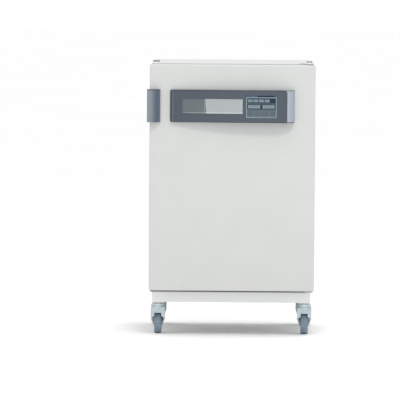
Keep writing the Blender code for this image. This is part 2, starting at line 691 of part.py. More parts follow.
def make_chamber_fittings():
    """Racks, shelves, water tray, sensor, port and stopper."""
    make_rack("left_shelf_rack", -1)
    make_rack("right_shelf_rack", 1)
    for name, level in zip(("lower_shelf", "middle_shelf", "upper_shelf"), SHELF_LEVELS):
        make_shelf(name, level)
    middle = LINER_SETBACK + CHAMBER_DEPTH / 2
    floor = CHAMBER_FLOOR + GAP
    sections = tub_sections(TRAY_WIDTH, middle, TRAY_LENGTH, TRAY_CORNER, TRAY_EDGE, floor + TRAY_HEIGHT,
                            floor, 3)
    rim = centred(TRAY_WIDTH + 2 * TRAY_RIM, middle, TRAY_LENGTH + 2 * TRAY_RIM, TRAY_CORNER + TRAY_RIM)
    sections.insert(0, (rim, floor + TRAY_HEIGHT))
    thicken(loft("water_tray", sections, "up", "stainless"), TRAY_WALL, False)
    turned("sensor_probe", [(0.0, SENSOR_LENGTH), (0.004, SENSOR_LENGTH - 0.001),
                            (SENSOR_RADIUS, SENSOR_LENGTH - 0.005), (SENSOR_RADIUS, 0.030), (0.0048, 0.028),
                            (0.0048, 0.006), (0.014, 0.005), (0.014, GAP), (0.0, GAP)],
           (SENSOR_X, FAN_Y, CHAMBER_TOP), "down", "stainless")
    bore = PORT_RADIUS - PORT_WALL
    rear = CABINET_DEPTH + 0.006 - CHAMBER_BACK
    flange = 0.0028
    turned("port_sleeve", [(PORT_RADIUS, rear), (PORT_RADIUS, -GAP), (PORT_FLANGE, -GAP),
                           (PORT_FLANGE, -flange), (bore, -flange), (bore, rear)],
           (PORT_X, CHAMBER_BACK, PORT_Z), "back", "stainless")
    seat = flange + GAP
    turned("port_stopper", [(0.0, 0.015), (0.022, 0.015), (0.026, 0.011), (0.026, seat), (bore - GAP, seat),
                            (bore - 0.001, -0.030), (0.0, -0.030)],
           (PORT_X, CHAMBER_BACK, PORT_Z), "front", "blue_silicone")


def radial_blocks(name, count, inner, outer, thickness, low, high):
    """Blades or slot cutters: boxes that stand round the fan's axis."""
    shape = bmesh.new()
    size = Matrix.Diagonal((outer - inner, thickness, high - low, 1.0))
    place = Matrix.Translation(((inner + outer) / 2, 0.0, (low + high) / 2))
    for i in range(count):
        turn = Matrix.Rotation(2 * math.pi * (i + 0.5) / count, 4, "Z")
        centre = Matrix.Translation((0.0, FAN_Y, 0.0))
        bmesh.ops.create_cube(shape, size=1.0, matrix=centre @ turn @ place @ size)
    return put(name, shape, None, ROOT)


def make_fan():
    """The motor above the ceiling, its blade wheel and the slotted shroud below."""
    hub_low, hub_high = -0.034, -0.008
    base = LINER_WALL + GAP
    top = base + MOTOR_HEIGHT
    turned("fan_motor", [(0.0, top), (MOTOR_RADIUS - 0.003, top), (MOTOR_RADIUS, top - 0.003),
                         (MOTOR_RADIUS, base), (FAN_SHAFT_RADIUS, base), (FAN_SHAFT_RADIUS, hub_low + 0.002),
                         (0.0, hub_low + 0.002)], (0.0, FAN_Y, CHAMBER_TOP), "up", "zinc_plated")
    bore = FAN_SHAFT_RADIUS + GAP
    plate = hub_high - 0.002
    wheel = turned("fan_wheel", [(FAN_RADIUS, hub_high), (FAN_RADIUS, plate), (0.011, plate),
                                 (0.009, hub_low), (bore, hub_low), (bore, hub_high)],
                   (0.0, FAN_Y, CHAMBER_TOP), "up", "silver_plastic", FAN_AXIS)
    fuse(wheel, radial_blocks("fan_blades", FAN_BLADES, 0.0095, FAN_RADIUS - 0.0005, 0.0016,
                              CHAMBER_TOP + plate - FAN_HEIGHT, CHAMBER_TOP + plate + 0.001))
    inner = SHROUD_RADIUS - SHROUD_WALL
    lip = -SHROUD_HEIGHT + SHROUD_WALL
    shroud = turned("fan_shroud", [(SHROUD_RADIUS + 0.010, -GAP), (SHROUD_RADIUS + 0.010, -SHROUD_WALL),
                                   (SHROUD_RADIUS, -SHROUD_WALL), (SHROUD_RADIUS, -SHROUD_HEIGHT + 0.003),
                                   (SHROUD_RADIUS - 0.003, -SHROUD_HEIGHT), (0.034, -SHROUD_HEIGHT),
                                   (0.034, lip), (inner, lip), (inner, -GAP)],
                    (0.0, FAN_Y, CHAMBER_TOP), "up", "stainless")
    cut(shroud, radial_blocks("shroud_slots", SHROUD_SLOTS, inner - 0.006, SHROUD_RADIUS + 0.004, 0.008,
                              CHAMBER_TOP - SHROUD_HEIGHT + 0.010, CHAMBER_TOP - 0.008))


def make_rear_fittings():
    """The gas nozzle with its barbs and the mains inlet with its three pins."""
    stem, barb = NOZZLE_STEM, NOZZLE_STEM + 0.0014
    outer = [(stem, NOZZLE_REACH)]
    for i in (1, 2):
        step = NOZZLE_REACH - i * NOZZLE_BARB_PITCH
        outer += [(barb, step), (stem, step)]
    turned("gas_nozzle", outer + [(stem, 0.011), (0.0075, 0.011), (0.0075, 0.004), (0.0120, 0.003),
                                  (0.0120, GAP), (0.0020, GAP), (0.0020, NOZZLE_REACH)],
           (NOZZLE_X, CABINET_DEPTH, NOZZLE_Z), "back", "zinc_plated", steps=12)
    back = CABINET_DEPTH + GAP
    half_x, half_z = INLET_WIDTH / 2, INLET_HEIGHT / 2
    inlet = block("power_inlet", (INLET_X - half_x, back, INLET_Z - half_z),
                  (INLET_X + half_x, back + INLET_DEPTH, INLET_Z + half_z), "dark_plastic")
    round_edges(inlet, 0.0015, 1)
    cut(inlet, block("inlet_well", (INLET_X - 0.012, back + 0.003, INLET_Z - 0.0085),
                     (INLET_X + 0.012, back + INLET_DEPTH + 0.010, INLET_Z + 0.0085)))
    pins = [block(f"inlet_pin_{i}", (INLET_X + x - 0.001, back + 0.002, INLET_Z + z - 0.003),
                  (INLET_X + x + 0.001, back + INLET_DEPTH - 0.006, INLET_Z + z + 0.003))
            for i, (x, z) in enumerate(((-0.007, -0.002), (0.0, 0.003), (0.007, -0.002)))]
    fuse(inlet, *pins)


def make_outer_hinges():
    """The hinge plates on the cabinet, with their pins, and the keeper of the latch."""
    x, y, half = HINGE_X, HINGE_Y, HINGE_HALF_WIDTH
    rear, inner = 0.066, x - 0.042
    outline = arc((x, y), half, 180, 360, 8) + [(x + half, rear), (inner, rear), (inner, 0.006),
                                                 (x - half, 0.006)]
    low = BODY_TOP + GAP
    upper = slab("upper_hinge", [outline], low, low + HINGE_PLATE, "up", "white_paint")
    fuse(upper, rod("upper_pin", (x, y, DOOR_TOP - HINGE_PIN_LENGTH), (x, y, low + 0.001), HINGE_PIN_RADIUS))
    top = DOOR_BOTTOM - LOWER_HINGE_GAP
    bottom = top - LOWER_HINGE_PLATE
    outline = arc((x, y), half, 180, 360, 8) + [(x + half, -GAP), (x - half, -GAP)]
    lower = slab("lower_hinge", [outline], bottom, top, "up", "white_paint")
    leaf = block("lower_leaf", (x - half + 0.001, -0.0043, bottom + 0.001),
                 (x + 0.014, -GAP, bottom + LOWER_LEAF_HEIGHT))
    pin = rod("lower_pin", (x, y, top - 0.001), (x, y, DOOR_BOTTOM + HINGE_PIN_LENGTH), HINGE_PIN_RADIUS)
    fuse(lower, leaf, pin)
    middle = HANDLE_BOTTOM + HANDLE_HEIGHT / 2
    left = -INSIDE_X + 0.0005
    keeper = [(left, -GAP), (left, -0.0033), (left + 0.006, -0.0033), (left + 0.006, -0.0093),
              (left + 0.010, -0.0093), (left + 0.010, -0.0033), (left + 0.016, -0.0033), (left + 0.016, -GAP)]
    slab("latch_keeper", [keeper], middle - 0.030, middle + 0.030, "up", "zinc_plated")


def make_glass_hinge(name, level):
    """A bracket on the front frame with two ears and their pins, for one clip of the glass door."""
    x, y = GLASS_HINGE_X, GLASS_HINGE_Y
    half = GLASS_CLIP_HEIGHT / 2 + GAP
    left = GLASS_WIDTH / 2 + 0.001
    outer = half + GLASS_EAR
    leaf = block(name, (left, -0.003, level - outer), (left + 0.021, -GAP, level + outer), "zinc_plated")
    ear = arc((x, y), 0.0045, 180, 360, 6) + [(x + 0.0045, -0.002), (x - 0.0045, -0.002)]
    upper = slab(f"{name}_upper_ear", [ear], level + half, level + outer, "up")
    lower = slab(f"{name}_lower_ear", [ear], level - outer, level - half, "up")
    upper_pin = rod(f"{name}_upper_pin", (x, y, level + half - 0.010), (x, y, level + half + 0.002),
                    GLASS_PIN_RADIUS, sides=12)
    lower_pin = rod(f"{name}_lower_pin", (x, y, level - half - 0.002), (x, y, level - half + 0.010),
                    GLASS_PIN_RADIUS, sides=12)
    fuse(leaf, upper, lower, upper_pin, lower_pin)


def make_glass_door():
    """The inner glass door with its clips and knob, and the brackets that carry it."""
    pane = centred(GLASS_WIDTH, CHAMBER_MIDDLE, GLASS_HEIGHT, GLASS_CORNER)
    slab("glass_pane", [pane], GLASS_FRONT, GLASS_BACK, "front", "clear_glass", GLASS_AXIS)
    offset = GLASS_HEIGHT / 2 - GLASS_HINGE_INSET_Z
    face = GLASS_FRONT - GAP
    for label, level in (("upper", CHAMBER_MIDDLE + offset), ("lower", CHAMBER_MIDDLE - offset)):
        make_glass_hinge(f"{label}_glass_hinge", level)
        low, high = level - GLASS_CLIP_HEIGHT / 2, level + GLASS_CLIP_HEIGHT / 2
        barrel = rod(f"{label}_glass_clip", (GLASS_HINGE_X, GLASS_HINGE_Y, low),
                     (GLASS_HINGE_X, GLASS_HINGE_Y, high), GLASS_BARREL_RADIUS, "zinc_plated", GLASS_AXIS)
        fuse(barrel, block(f"{label}_clip_leaf",
                           (GLASS_WIDTH / 2 - GLASS_CLIP_WIDTH, face - 0.0027, low + 0.001),
                           (GLASS_HINGE_X - 0.002, face, high - 0.001)))
        cut(barrel, rod(f"{label}_clip_bore", (GLASS_HINGE_X, GLASS_HINGE_Y, low - 0.005),
                        (GLASS_HINGE_X, GLASS_HINGE_Y, high + 0.005), GLASS_PIN_RADIUS + GAP, sides=12))
    length, radius = KNOB_LENGTH, KNOB_RADIUS
    turned("glass_knob", [(0.0, length), (radius - 0.003, length), (radius, length - 0.003),
                          (radius, length - 0.006), (radius * 0.6, length - 0.009), (radius * 0.6, 0.003),
                          (radius * 0.9, 0.001), (radius * 0.9, 0.0), (0.0, 0.0)],
           (KNOB_X, face, CHAMBER_MIDDLE), "front", "dark_plastic", GLASS_AXIS)


def make_door():
    """The outer door: painted skin, foam, recessed inner panel, gasket and hinge bushes."""
    sections = tub_sections(DOOR_WIDTH, DOOR_MIDDLE, DOOR_HEIGHT, DOOR_EDGE + 0.001, DOOR_EDGE,
                            DOOR_BACK, DOOR_FRONT, 3)
    skin = thicken(loft("door_skin", sections, "front", "white_paint", DOOR_AXIS), DOOR_SKIN, False)
    inset = 2 * (DOOR_SKIN + GAP)
    width, height = DOOR_WIDTH - inset, DOOR_HEIGHT - inset
    rim = centred(width, DOOR_MIDDLE, height, DOOR_EDGE, ARC_STEPS)
    floor = DOOR_BACK - RECESS_DEPTH
    recess = tub_sections(RECESS_WIDTH, CHAMBER_MIDDLE, RECESS_HEIGHT, RECESS_CORNER, RECESS_EDGE,
                          DOOR_BACK, floor)
    panel = loft("door_liner", [(rim, DOOR_BACK)] + recess, "front", "grey_paint", DOOR_AXIS)
    thicken(panel, DOOR_LINER_WALL, True)
    core = tub_sections(width, DOOR_MIDDLE, height, DOOR_EDGE + 0.001, DOOR_EDGE,
                        DOOR_BACK - DOOR_LINER_WALL - GAP, DOOR_FRONT + DOOR_SKIN + GAP, 3)
    foam = loft("door_insulation", core, "front", "foam", DOOR_AXIS, caps=(True, True))
    grow = DOOR_LINER_WALL + GAP
    room = tub_sections(RECESS_WIDTH + 2 * grow, CHAMBER_MIDDLE, RECESS_HEIGHT + 2 * grow,
                        RECESS_CORNER + grow, RECESS_EDGE + grow, DOOR_BACK, floor - grow)
    cut(foam, loft("recess_room", room, "front", caps=(True, True)))
    grip = BUSH_RADIUS + GAP
    depth = HINGE_PIN_LENGTH + 0.004
    ways = [rod("upper_bush_way", (HINGE_X, HINGE_Y, DOOR_TOP - depth), (HINGE_X, HINGE_Y, DOOR_TOP + 0.010),
                grip),
            rod("lower_bush_way", (HINGE_X, HINGE_Y, DOOR_BOTTOM - 0.010),
                (HINGE_X, HINGE_Y, DOOR_BOTTOM + depth), grip)]
    cut(skin, *ways)
    cut(foam, *ways)
    bore = HINGE_PIN_RADIUS + GAP
    length = HINGE_PIN_LENGTH + 0.002
    for name, facing, level, flange in (("upper_hinge_bush", "up", DOOR_TOP, DOOR_TOP_DROP),
                                        ("lower_hinge_bush", "down", DOOR_BOTTOM,
                                         LOWER_HINGE_GAP - GAP)):
        turned(name, [(BUSH_FLANGE, flange), (BUSH_FLANGE, GAP), (BUSH_RADIUS, GAP), (BUSH_RADIUS, -length),
                      (bore, -length), (bore, flange)],
               (HINGE_X, HINGE_Y, level), facing, "dark_plastic", DOOR_AXIS)
    outer_w = DOOR_WIDTH - 2 * GASKET_MARGIN_X
    outer_h = DOOR_HEIGHT - 2 * GASKET_MARGIN_Z
    front, back = DOOR_BACK + GAP, -GAP
    bulge = GASKET_WIDTH / 4
    profile = [(0.0, front), (0.0, front + 0.003), (bulge, front + 0.004), (bulge / 2, back - 0.002),
               (bulge, back), (GASKET_WIDTH - bulge, back), (GASKET_WIDTH - bulge / 2, back - 0.002),
               (GASKET_WIDTH - bulge, front + 0.004), (GASKET_WIDTH, front + 0.003), (GASKET_WIDTH, front)]
    rings = [(centred(outer_w - 2 * depth_in, DOOR_MIDDLE, outer_h - 2 * depth_in, 0.024 - depth_in), level)
             for depth_in, level in profile]
    loft("door_gasket", rings, "front", "silicone", DOOR_AXIS, closed=True)


def console_stand(x):
    """How far the console's bowed front stands off the door at a place across it."""
    if x <= CONSOLE_PEAK_X:
        share = (CONSOLE_PEAK_X - x) / (CONSOLE_PEAK_X - CONSOLE_LEFT)
        return CONSOLE_PEAK - (CONSOLE_PEAK - CONSOLE_LEFT_STAND) * share ** 2
    share = (x - CONSOLE_PEAK_X) / (CONSOLE_SPLIT - CONSOLE_PEAK_X)
    return CONSOLE_PEAK - (CONSOLE_PEAK - CONSOLE_SPLIT_STAND) * share ** 2


def console_front(left, right, setback, steps=20):
    """Points along the console's front between two places, set back from it."""
    xs = [left + (right - left) * i / steps for i in range(steps + 1)]
    return [(x, MOUNT_FACE - console_stand(x) + setback) for x in xs]


def key_boxes(clearance):
    """The corners of each key's rectangle on the keypad, with a clearance round it."""
    pitch = (KEYPAD_RIGHT - KEYPAD_LEFT) / KEY_COUNT
    low = KEYPAD_BOTTOM + KEY_LIFT
    for i in range(KEY_COUNT):
        middle = KEYPAD_LEFT + pitch * (i + 0.5)
        yield (middle - KEY_WIDTH / 2 - clearance, low - clearance,
               middle + KEY_WIDTH / 2 + clearance, low + KEY_HEIGHT + clearance)


def make_console():
    """The bowed control console: housing, end cap, window, keypad, keys and circuit board."""
    low, high = CONSOLE_BOTTOM, CONSOLE_BOTTOM + CONSOLE_HEIGHT
    outline = console_front(CONSOLE_LEFT, CONSOLE_SPLIT, 0.0)
    outline += [(CONSOLE_SPLIT, MOUNT_FACE), (CONSOLE_LEFT, MOUNT_FACE)]
    housing = slab("console_housing", [outline], low, high, "up", "slate_plastic", DOOR_AXIS)
    round_edges(housing, CONSOLE_EDGE)
    inner_left, inner_right = CONSOLE_LEFT + CONSOLE_WALL, CONSOLE_SPLIT - CONSOLE_WALL
    inside = console_front(inner_left, inner_right, CONSOLE_WALL)
    inside += [(inner_right, MOUNT_FACE + 0.010), (inner_left, MOUNT_FACE + 0.010)]
    cavity = slab("console_cavity", [inside], low + CONSOLE_WALL, high - CONSOLE_WALL, "up")
    far = MOUNT_FACE - 2 * CONSOLE_PEAK
    window_depth = console_stand(WINDOW_LEFT) - CONSOLE_WALL
    window_way = block("window_way", (WINDOW_LEFT, far, WINDOW_BOTTOM),
                       (WINDOW_RIGHT, MOUNT_FACE - window_depth + 0.003, WINDOW_BOTTOM + WINDOW_HEIGHT))
    keypad_way = block("keypad_way", (KEYPAD_LEFT, far, KEYPAD_BOTTOM),
                       (KEYPAD_RIGHT, KEYPAD_FRONT + 0.010, KEYPAD_BOTTOM + KEYPAD_HEIGHT))
    cut(housing, cavity, window_way, keypad_way)
    steps = 8
    near = CONSOLE_SPLIT + GAP
    xs = [near + (CONSOLE_RIGHT - near) * i / steps for i in range(steps + 1)]
    drop = CONSOLE_SPLIT_STAND - CONSOLE_RIGHT_STAND
    cap = [(x, MOUNT_FACE - CONSOLE_RIGHT_STAND - drop * (1 - (i / steps) ** 2)) for i, x in enumerate(xs)]
    cap += [(CONSOLE_RIGHT, MOUNT_FACE), (near, MOUNT_FACE)]
    round_edges(slab("console_end_cap", [cap], low, high, "up", "silver_plastic", DOOR_AXIS), CONSOLE_EDGE)
    left, right = WINDOW_LEFT + GAP, WINDOW_RIGHT - GAP
    pane = console_front(left, right, WINDOW_SETBACK, 14)
    pane += reversed(console_front(left, right, WINDOW_SETBACK + WINDOW_THICKNESS, 14))
    slab("display_window", [pane], WINDOW_BOTTOM + GAP, WINDOW_BOTTOM + WINDOW_HEIGHT - GAP, "up", "window",
         DOOR_AXIS)
    keypad = block("keypad_panel", (KEYPAD_LEFT + GAP, KEYPAD_FRONT, KEYPAD_BOTTOM + GAP),
                   (KEYPAD_RIGHT - GAP, KEYPAD_FRONT + KEYPAD_THICKNESS, KEYPAD_BOTTOM + KEYPAD_HEIGHT - GAP),
                   "slate_plastic", DOOR_AXIS)
    ways = [block(f"key_way_{i}", (x0, far, z0), (x1, KEYPAD_FRONT + 0.020, z1))
            for i, (x0, z0, x1, z1) in enumerate(key_boxes(GAP), 1)]
    cut(keypad, *ways)
    for i, (x0, z0, x1, z1) in enumerate(key_boxes(0.0), 1):
        axis = axis_empty(f"key_{i}_axis", ((x0 + x1) / 2, KEYPAD_FRONT, (z0 + z1) / 2), DOOR_AXIS)
        key = block(f"key_{i}", (x0, KEYPAD_FRONT - KEY_PROUD, z0), (x1, KEY_REAR, z1), "key_plastic", axis)
        round_edges(key, 0.0010)
    margin = 0.008
    board = block("control_board", (KEYPAD_LEFT - margin, BOARD_FRONT, KEYPAD_BOTTOM),
                  (KEYPAD_RIGHT + margin, BOARD_FRONT + BOARD_THICKNESS, KEYPAD_BOTTOM + KEYPAD_HEIGHT),
                  "circuit_board", DOOR_AXIS)
    posts = [rod(f"board_post_{i}", (x, BOARD_FRONT + 0.001, z), (x, MOUNT_FACE, z), 0.004, sides=12)
             for i, (x, z) in enumerate((x, z) for x in (KEYPAD_LEFT, KEYPAD_RIGHT)
                                        for z in (KEYPAD_BOTTOM + margin,
                                                  KEYPAD_BOTTOM + KEYPAD_HEIGHT - margin))]
    fuse(board, *posts)


def handle_stand(x):
    """How far the handle's outer face stands off the door at a place across it."""
    right = HANDLE_PIVOT_X + 0.003
    near = HANDLE_PIVOT_STAND + 0.003
    if x > HANDLE_PEAK_X:
        share = (right - x) / (right - HANDLE_PEAK_X)
        return near + (HANDLE_PEAK - near) * math.sin(math.pi / 2 * share) ** 1.3
    share = (HANDLE_PEAK_X - x) / (HANDLE_PEAK_X - HANDLE_LEFT)
    return HANDLE_PEAK / 2 * (1 + math.sqrt(max(1 - share ** 2, 0.0)))


def handle_front(left, right, wall, steps=16):
    """Points along the handle's outer face from right to left, set in by a wall."""
    xs = [right + (left - right) * i / steps for i in range(steps + 1)]
    return [(x, DOOR_FRONT - handle_stand(x) + wall) for x in xs]


def make_handle():
    """The door's lever handle, which wraps round the door's edge, and the mount with its pivot pins."""
    low, high = HANDLE_BOTTOM, HANDLE_BOTTOM + HANDLE_HEIGHT
    pivot = (HANDLE_PIVOT_X, HANDLE_PIVOT_Y)
    play = HANDLE_PIVOT_STAND - HANDLE_KNUCKLE
    side = -DOOR_SIDE - play
    reach = DOOR_FRONT + HANDLE_SIDE_REACH
    outline = arc(pivot, HANDLE_KNUCKLE, 90, -60, 6)
    outline += handle_front(HANDLE_LEFT, HANDLE_PIVOT_X - 0.001, 0.0)
    outline += [(HANDLE_LEFT, reach), (side, reach), (side, DOOR_FRONT - play)]
    handle = slab("door_handle", [outline], low, high, "up", "slate_plastic", HANDLE_AXIS)
    wall = HANDLE_WALL
    inside = handle_front(HANDLE_LEFT + wall, HANDLE_PIVOT_X - 0.008, wall)
    inside += [(HANDLE_LEFT + wall, reach + 0.010), (HANDLE_PIVOT_X - 0.008, reach + 0.010)]
    hollow = slab("handle_hollow", [inside], low + wall, high - wall, "up")
    cut(handle, hollow)
    base_left, base_right = HANDLE_PEAK_X, HANDLE_PEAK_X + 0.020
    mount = block("handle_mount", (base_left, MOUNT_FACE - 0.003, low + 0.008),
                  (base_right, MOUNT_FACE, high - 0.008), "zinc_plated", DOOR_AXIS)
    ends = ((low + wall + GAP, 1, low), (high - wall - GAP, -1, high))
    for i, (start, way, end) in enumerate(ends):
        stop = start + way * LUG_THICKNESS
        z0, z1 = min(start, stop), max(start, stop)
        lug = arc(pivot, LUG_RADIUS, -90, 90, 8)
        lug += [(HANDLE_PIVOT_X - LUG_RADIUS, MOUNT_FACE), (base_left, MOUNT_FACE),
                (base_left, HANDLE_PIVOT_Y - LUG_RADIUS)]
        room = arc(pivot, LUG_RADIUS + GAP, -90, 90 - HANDLE_SWING, 8)
        room += [(room[-1][0], MOUNT_FACE + 0.010), (base_left, MOUNT_FACE + 0.010),
                 (base_left, HANDLE_PIVOT_Y - LUG_RADIUS - GAP)]
        fuse(mount, slab(f"mount_lug_{i}", [lug], z0, z1, "up"),
             rod(f"mount_pin_{i}", (*pivot, end), (*pivot, start + way * 0.002), HANDLE_PIN_RADIUS, sides=12))
        cut(handle, slab(f"lug_room_{i}", [room], z0 - GAP, z1 + GAP, "up"),
            rod(f"pin_way_{i}", (*pivot, end - way * 0.004), (*pivot, start), HANDLE_PIN_RADIUS + GAP,
                sides=12))


def make_base_frame():
    """The welded base frame, open below, with a plate and a kingpin for each caster."""
    half_x, top, bottom = BASE_WIDTH / 2, BASE_TOP, CASTER_HEIGHT

    def ring(inset):
        """The frame's outer and inner outlines, the inner one with gussets across its corners."""
        x, y0, y1 = half_x - BASE_RAIL + inset, BASE_RAIL - inset, CABINET_DEPTH - BASE_RAIL + inset
        g = BASE_GUSSET
        inner = [(-x + g, y0), (x - g, y0), (x, y0 + g), (x, y1 - g), (x - g, y1), (-x + g, y1),
                 (-x, y1 - g), (-x, y0 + g)]
        return [rectangle(-half_x + inset, half_x - inset, inset, CABINET_DEPTH - inset), inner]

    frame = slab("base_frame", ring(0.0), bottom, top, "up", "white_paint")
    cut(frame, slab("base_channel", ring(BASE_WALL), bottom - 0.010, top - BASE_WALL, "up"))
    for label, x, y, _ in caster_places():
        side = 1 if x > 0 else -1
        outer = side * (half_x - 0.0005)
        x0, x1 = sorted((outer, outer - side * (BASE_RAIL - 0.001)))
        reach = CASTER_PLATE_LENGTH / 2
        plate = block(f"{label}_plate", (x0, y - reach, bottom - CASTER_PLATE),
                      (x1, y + reach, bottom + BASE_WALL / 2))
        pin = rod(f"{label}_kingpin", (x, y, bottom - CASTER_PLATE - KINGPIN_LENGTH), (x, y, bottom),
                  KINGPIN_RADIUS, sides=16)
        fuse(frame, plate, pin)


def caster_places():
    """Each caster's label, swivel axis and the way its wheel trails."""
    front, rear = CASTER_INSET_Y, CABINET_DEPTH - CASTER_INSET_Y
    return (("front_left", -CASTER_X, front, 1), ("front_right", CASTER_X, front, 1),
            ("rear_left", -CASTER_X, rear, -1), ("rear_right", CASTER_X, rear, -1))


def make_caster(label, x, y, way):
    """A swivel caster: fork with its riveted axle, hub and tyre."""
    swivel = axis_empty(f"{label}_swivel_axis", (x, y, CASTER_HEIGHT), ROOT)
    axle_y = y + way * CASTER_TRAIL
    spin = axis_empty(f"{label}_wheel_axis", (x, axle_y, AXLE_Z), swivel)
    half, foot = FORK_WIDTH / 2, FORK_FOOT_WIDTH / 2
    tight, wide, notch = WHEEL_WIDTH / 2 + WHEEL_CLEARANCE, LIP_OPENING_WIDTH / 2, LIP_NOTCH_WIDTH / 2
    below = AXLE_Z - FORK_FOOT_RADIUS - 0.001

    def both_sides(right):
        """The outline that one of its halves gives, on both sides of the caster."""
        return [(x + u, v) for u, v in right] + [(x - u, v) for u, v in reversed(right)]

    def between(start, stop):
        """Two places along the caster's trail, in order along Y."""
        return sorted((y + way * start, y + way * stop))

    front = both_sides([(foot, below), (half, FORK_SHOULDER), (half, CROWN_TOP)])
    fork = slab(f"{label}_fork", [front], *between(-0.060, 0.080), "front", "zinc_plated", swivel)
    profile = [(-FORK_FRONT, CROWN_TOP), (-FORK_FRONT, FORK_SHOULDER + 0.004),
               (CASTER_TRAIL - FORK_FOOT_RADIUS, AXLE_Z)]
    profile += arc((CASTER_TRAIL, AXLE_Z), FORK_FOOT_RADIUS, 200, 350, 6)
    profile += [(CASTER_TRAIL + 0.020, LIP_NOTCH_TOP), (CASTER_TRAIL + 0.008, CROWN_TOP)]
    side = slab(f"{label}_side", [[(y + way * u, v) for u, v in profile]], x - 0.040, x + 0.040, "side")
    combine(fork, [side], "INTERSECT")
    spare = WHEEL_CLEARANCE
    room = both_sides([(tight + spare, 0.0), (tight + spare, AXLE_Z - 0.002),
                       (wide + spare, FORK_SHOULDER - 0.002), (wide + spare, CROWN_TOP - FORK_CROWN)])
    opening = both_sides([(tight, 0.0), (tight, AXLE_Z - 0.002), (wide, FORK_SHOULDER - 0.002),
                          (wide, LIP_OPENING_TOP), (notch, LIP_OPENING_TOP), (notch, LIP_NOTCH_TOP)])
    lip_back = FORK_LIP - FORK_FRONT
    cut(fork, slab(f"{label}_room", [room], *between(lip_back, 0.090), "front"),
        slab(f"{label}_opening", [opening], *between(-0.070, lip_back + 0.002), "front"))
    wide, edge = SWIVEL_HEAD_RADIUS, SWIVEL_HEAD_EDGE
    head = turned(f"{label}_head", [(0.0, HEAD_TOP), (wide - edge, HEAD_TOP), (wide, HEAD_TOP - edge),
                                    (wide, CROWN_TOP), (wide - edge / 2, CROWN_TOP - edge / 2),
                                    (0.0, CROWN_TOP - edge / 2)], (x, y, 0.0), "up")
    axle = rod(f"{label}_axle", (x - foot - 0.001, axle_y, AXLE_Z), (x + foot + 0.001, axle_y, AXLE_Z),
               AXLE_RADIUS, sides=16)
    fuse(fork, head, axle)
    pin_end = CASTER_HEIGHT - CASTER_PLATE - KINGPIN_LENGTH - GAP
    cut(fork, rod(f"{label}_pin_way", (x, y, pin_end), (x, y, HEAD_TOP + 0.010), KINGPIN_RADIUS + GAP,
                  sides=16))
    rim = WHEEL_RADIUS - TYRE_THICKNESS
    width = WHEEL_WIDTH / 2
    soft = 0.004
    turned(f"{label}_tyre", [(WHEEL_RADIUS - soft, width), (WHEEL_RADIUS, width - soft),
                             (WHEEL_RADIUS, soft - width), (WHEEL_RADIUS - soft, -width), (rim, -width),
                             (rim, width)], (x, axle_y, AXLE_Z), "side", "tyre_rubber", spin, WHEEL_SIDES)
    outer, bore = rim - GAP - 0.0002, AXLE_RADIUS + GAP
    edge, web, boss = width - 0.002, 0.005, 0.012
    turned(f"{label}_hub", [(outer, edge), (outer, -edge), (outer - 0.003, -edge), (outer - 0.005, -web),
                            (boss + 0.002, -web), (boss, -width), (bore, -width), (bore, width),
                            (boss, width), (boss + 0.002, web), (outer - 0.005, web), (outer - 0.003, edge)],
           (x, axle_y, AXLE_Z), "side", "hub_plastic", spin, 16)


def make_incubator():
    """Every piece of the incubator."""
    port_way = port_cutter()
    make_casing(port_way)
    make_chamber(port_way)
    make_chamber_fittings()
    make_fan()
    make_rear_fittings()
    make_outer_hinges()
    make_glass_door()
    make_door()
    make_console()
    make_handle()
    make_base_frame()
    for place in caster_places():
        make_caster(*place)


make_incubator()
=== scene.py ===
"""Looks of the carbon dioxide incubator: finishes, fine surfaces, small fasteners and the stage.

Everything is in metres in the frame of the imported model, +Z up, with the front towards -Y.
"""

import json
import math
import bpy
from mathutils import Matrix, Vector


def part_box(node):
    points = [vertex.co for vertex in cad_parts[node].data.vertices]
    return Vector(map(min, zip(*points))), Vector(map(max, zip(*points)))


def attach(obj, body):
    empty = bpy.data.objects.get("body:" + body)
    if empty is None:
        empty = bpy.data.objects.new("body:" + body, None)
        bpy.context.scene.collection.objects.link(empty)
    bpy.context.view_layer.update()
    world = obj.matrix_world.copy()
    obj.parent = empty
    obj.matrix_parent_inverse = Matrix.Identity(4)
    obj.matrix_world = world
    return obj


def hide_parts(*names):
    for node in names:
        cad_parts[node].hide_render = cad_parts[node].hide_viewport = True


bl_info = {
    "name": "Carbon Dioxide Incubator",
    "version": (1, 0, 0),
    "blender": (4, 5, 0),
    "location": "View3D > Sidebar > Incubator",
    "description": "Dresses the incubator's model with its surfaces, finishes and stage",
    "category": "Object",
}

import bmesh
import bpy
import numpy as np
from mathutils import Matrix, Vector

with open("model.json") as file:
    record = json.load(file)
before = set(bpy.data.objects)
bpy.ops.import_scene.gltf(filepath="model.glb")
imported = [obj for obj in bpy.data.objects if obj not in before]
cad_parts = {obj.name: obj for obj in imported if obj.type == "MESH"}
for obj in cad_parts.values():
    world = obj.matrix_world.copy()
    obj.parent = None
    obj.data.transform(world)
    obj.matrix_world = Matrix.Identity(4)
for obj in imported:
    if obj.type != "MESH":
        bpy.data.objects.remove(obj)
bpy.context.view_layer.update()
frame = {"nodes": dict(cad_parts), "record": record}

BODY_OF = {node: body for body, nodes in frame["record"]["behaviour"]["bodies"].items() for node in nodes}
CASTERS = ("front_left", "front_right", "rear_left", "rear_right")
KEYS = ("key_1", "key_2", "key_3", "key_4")
FINISHES = {}                   # each finish's material by its name


def corners(node):
    """A node's lowest and highest corners as two arrays."""
    low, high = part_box(node)
    return np.array(low), np.array(high)


def span(node, axis):
    """Where a node starts and ends along an axis, as plain numbers."""
    low, high = corners(node)[0]["XYZ".index(axis)], corners(node)[1]["XYZ".index(axis)]
    return float(low), float(high)


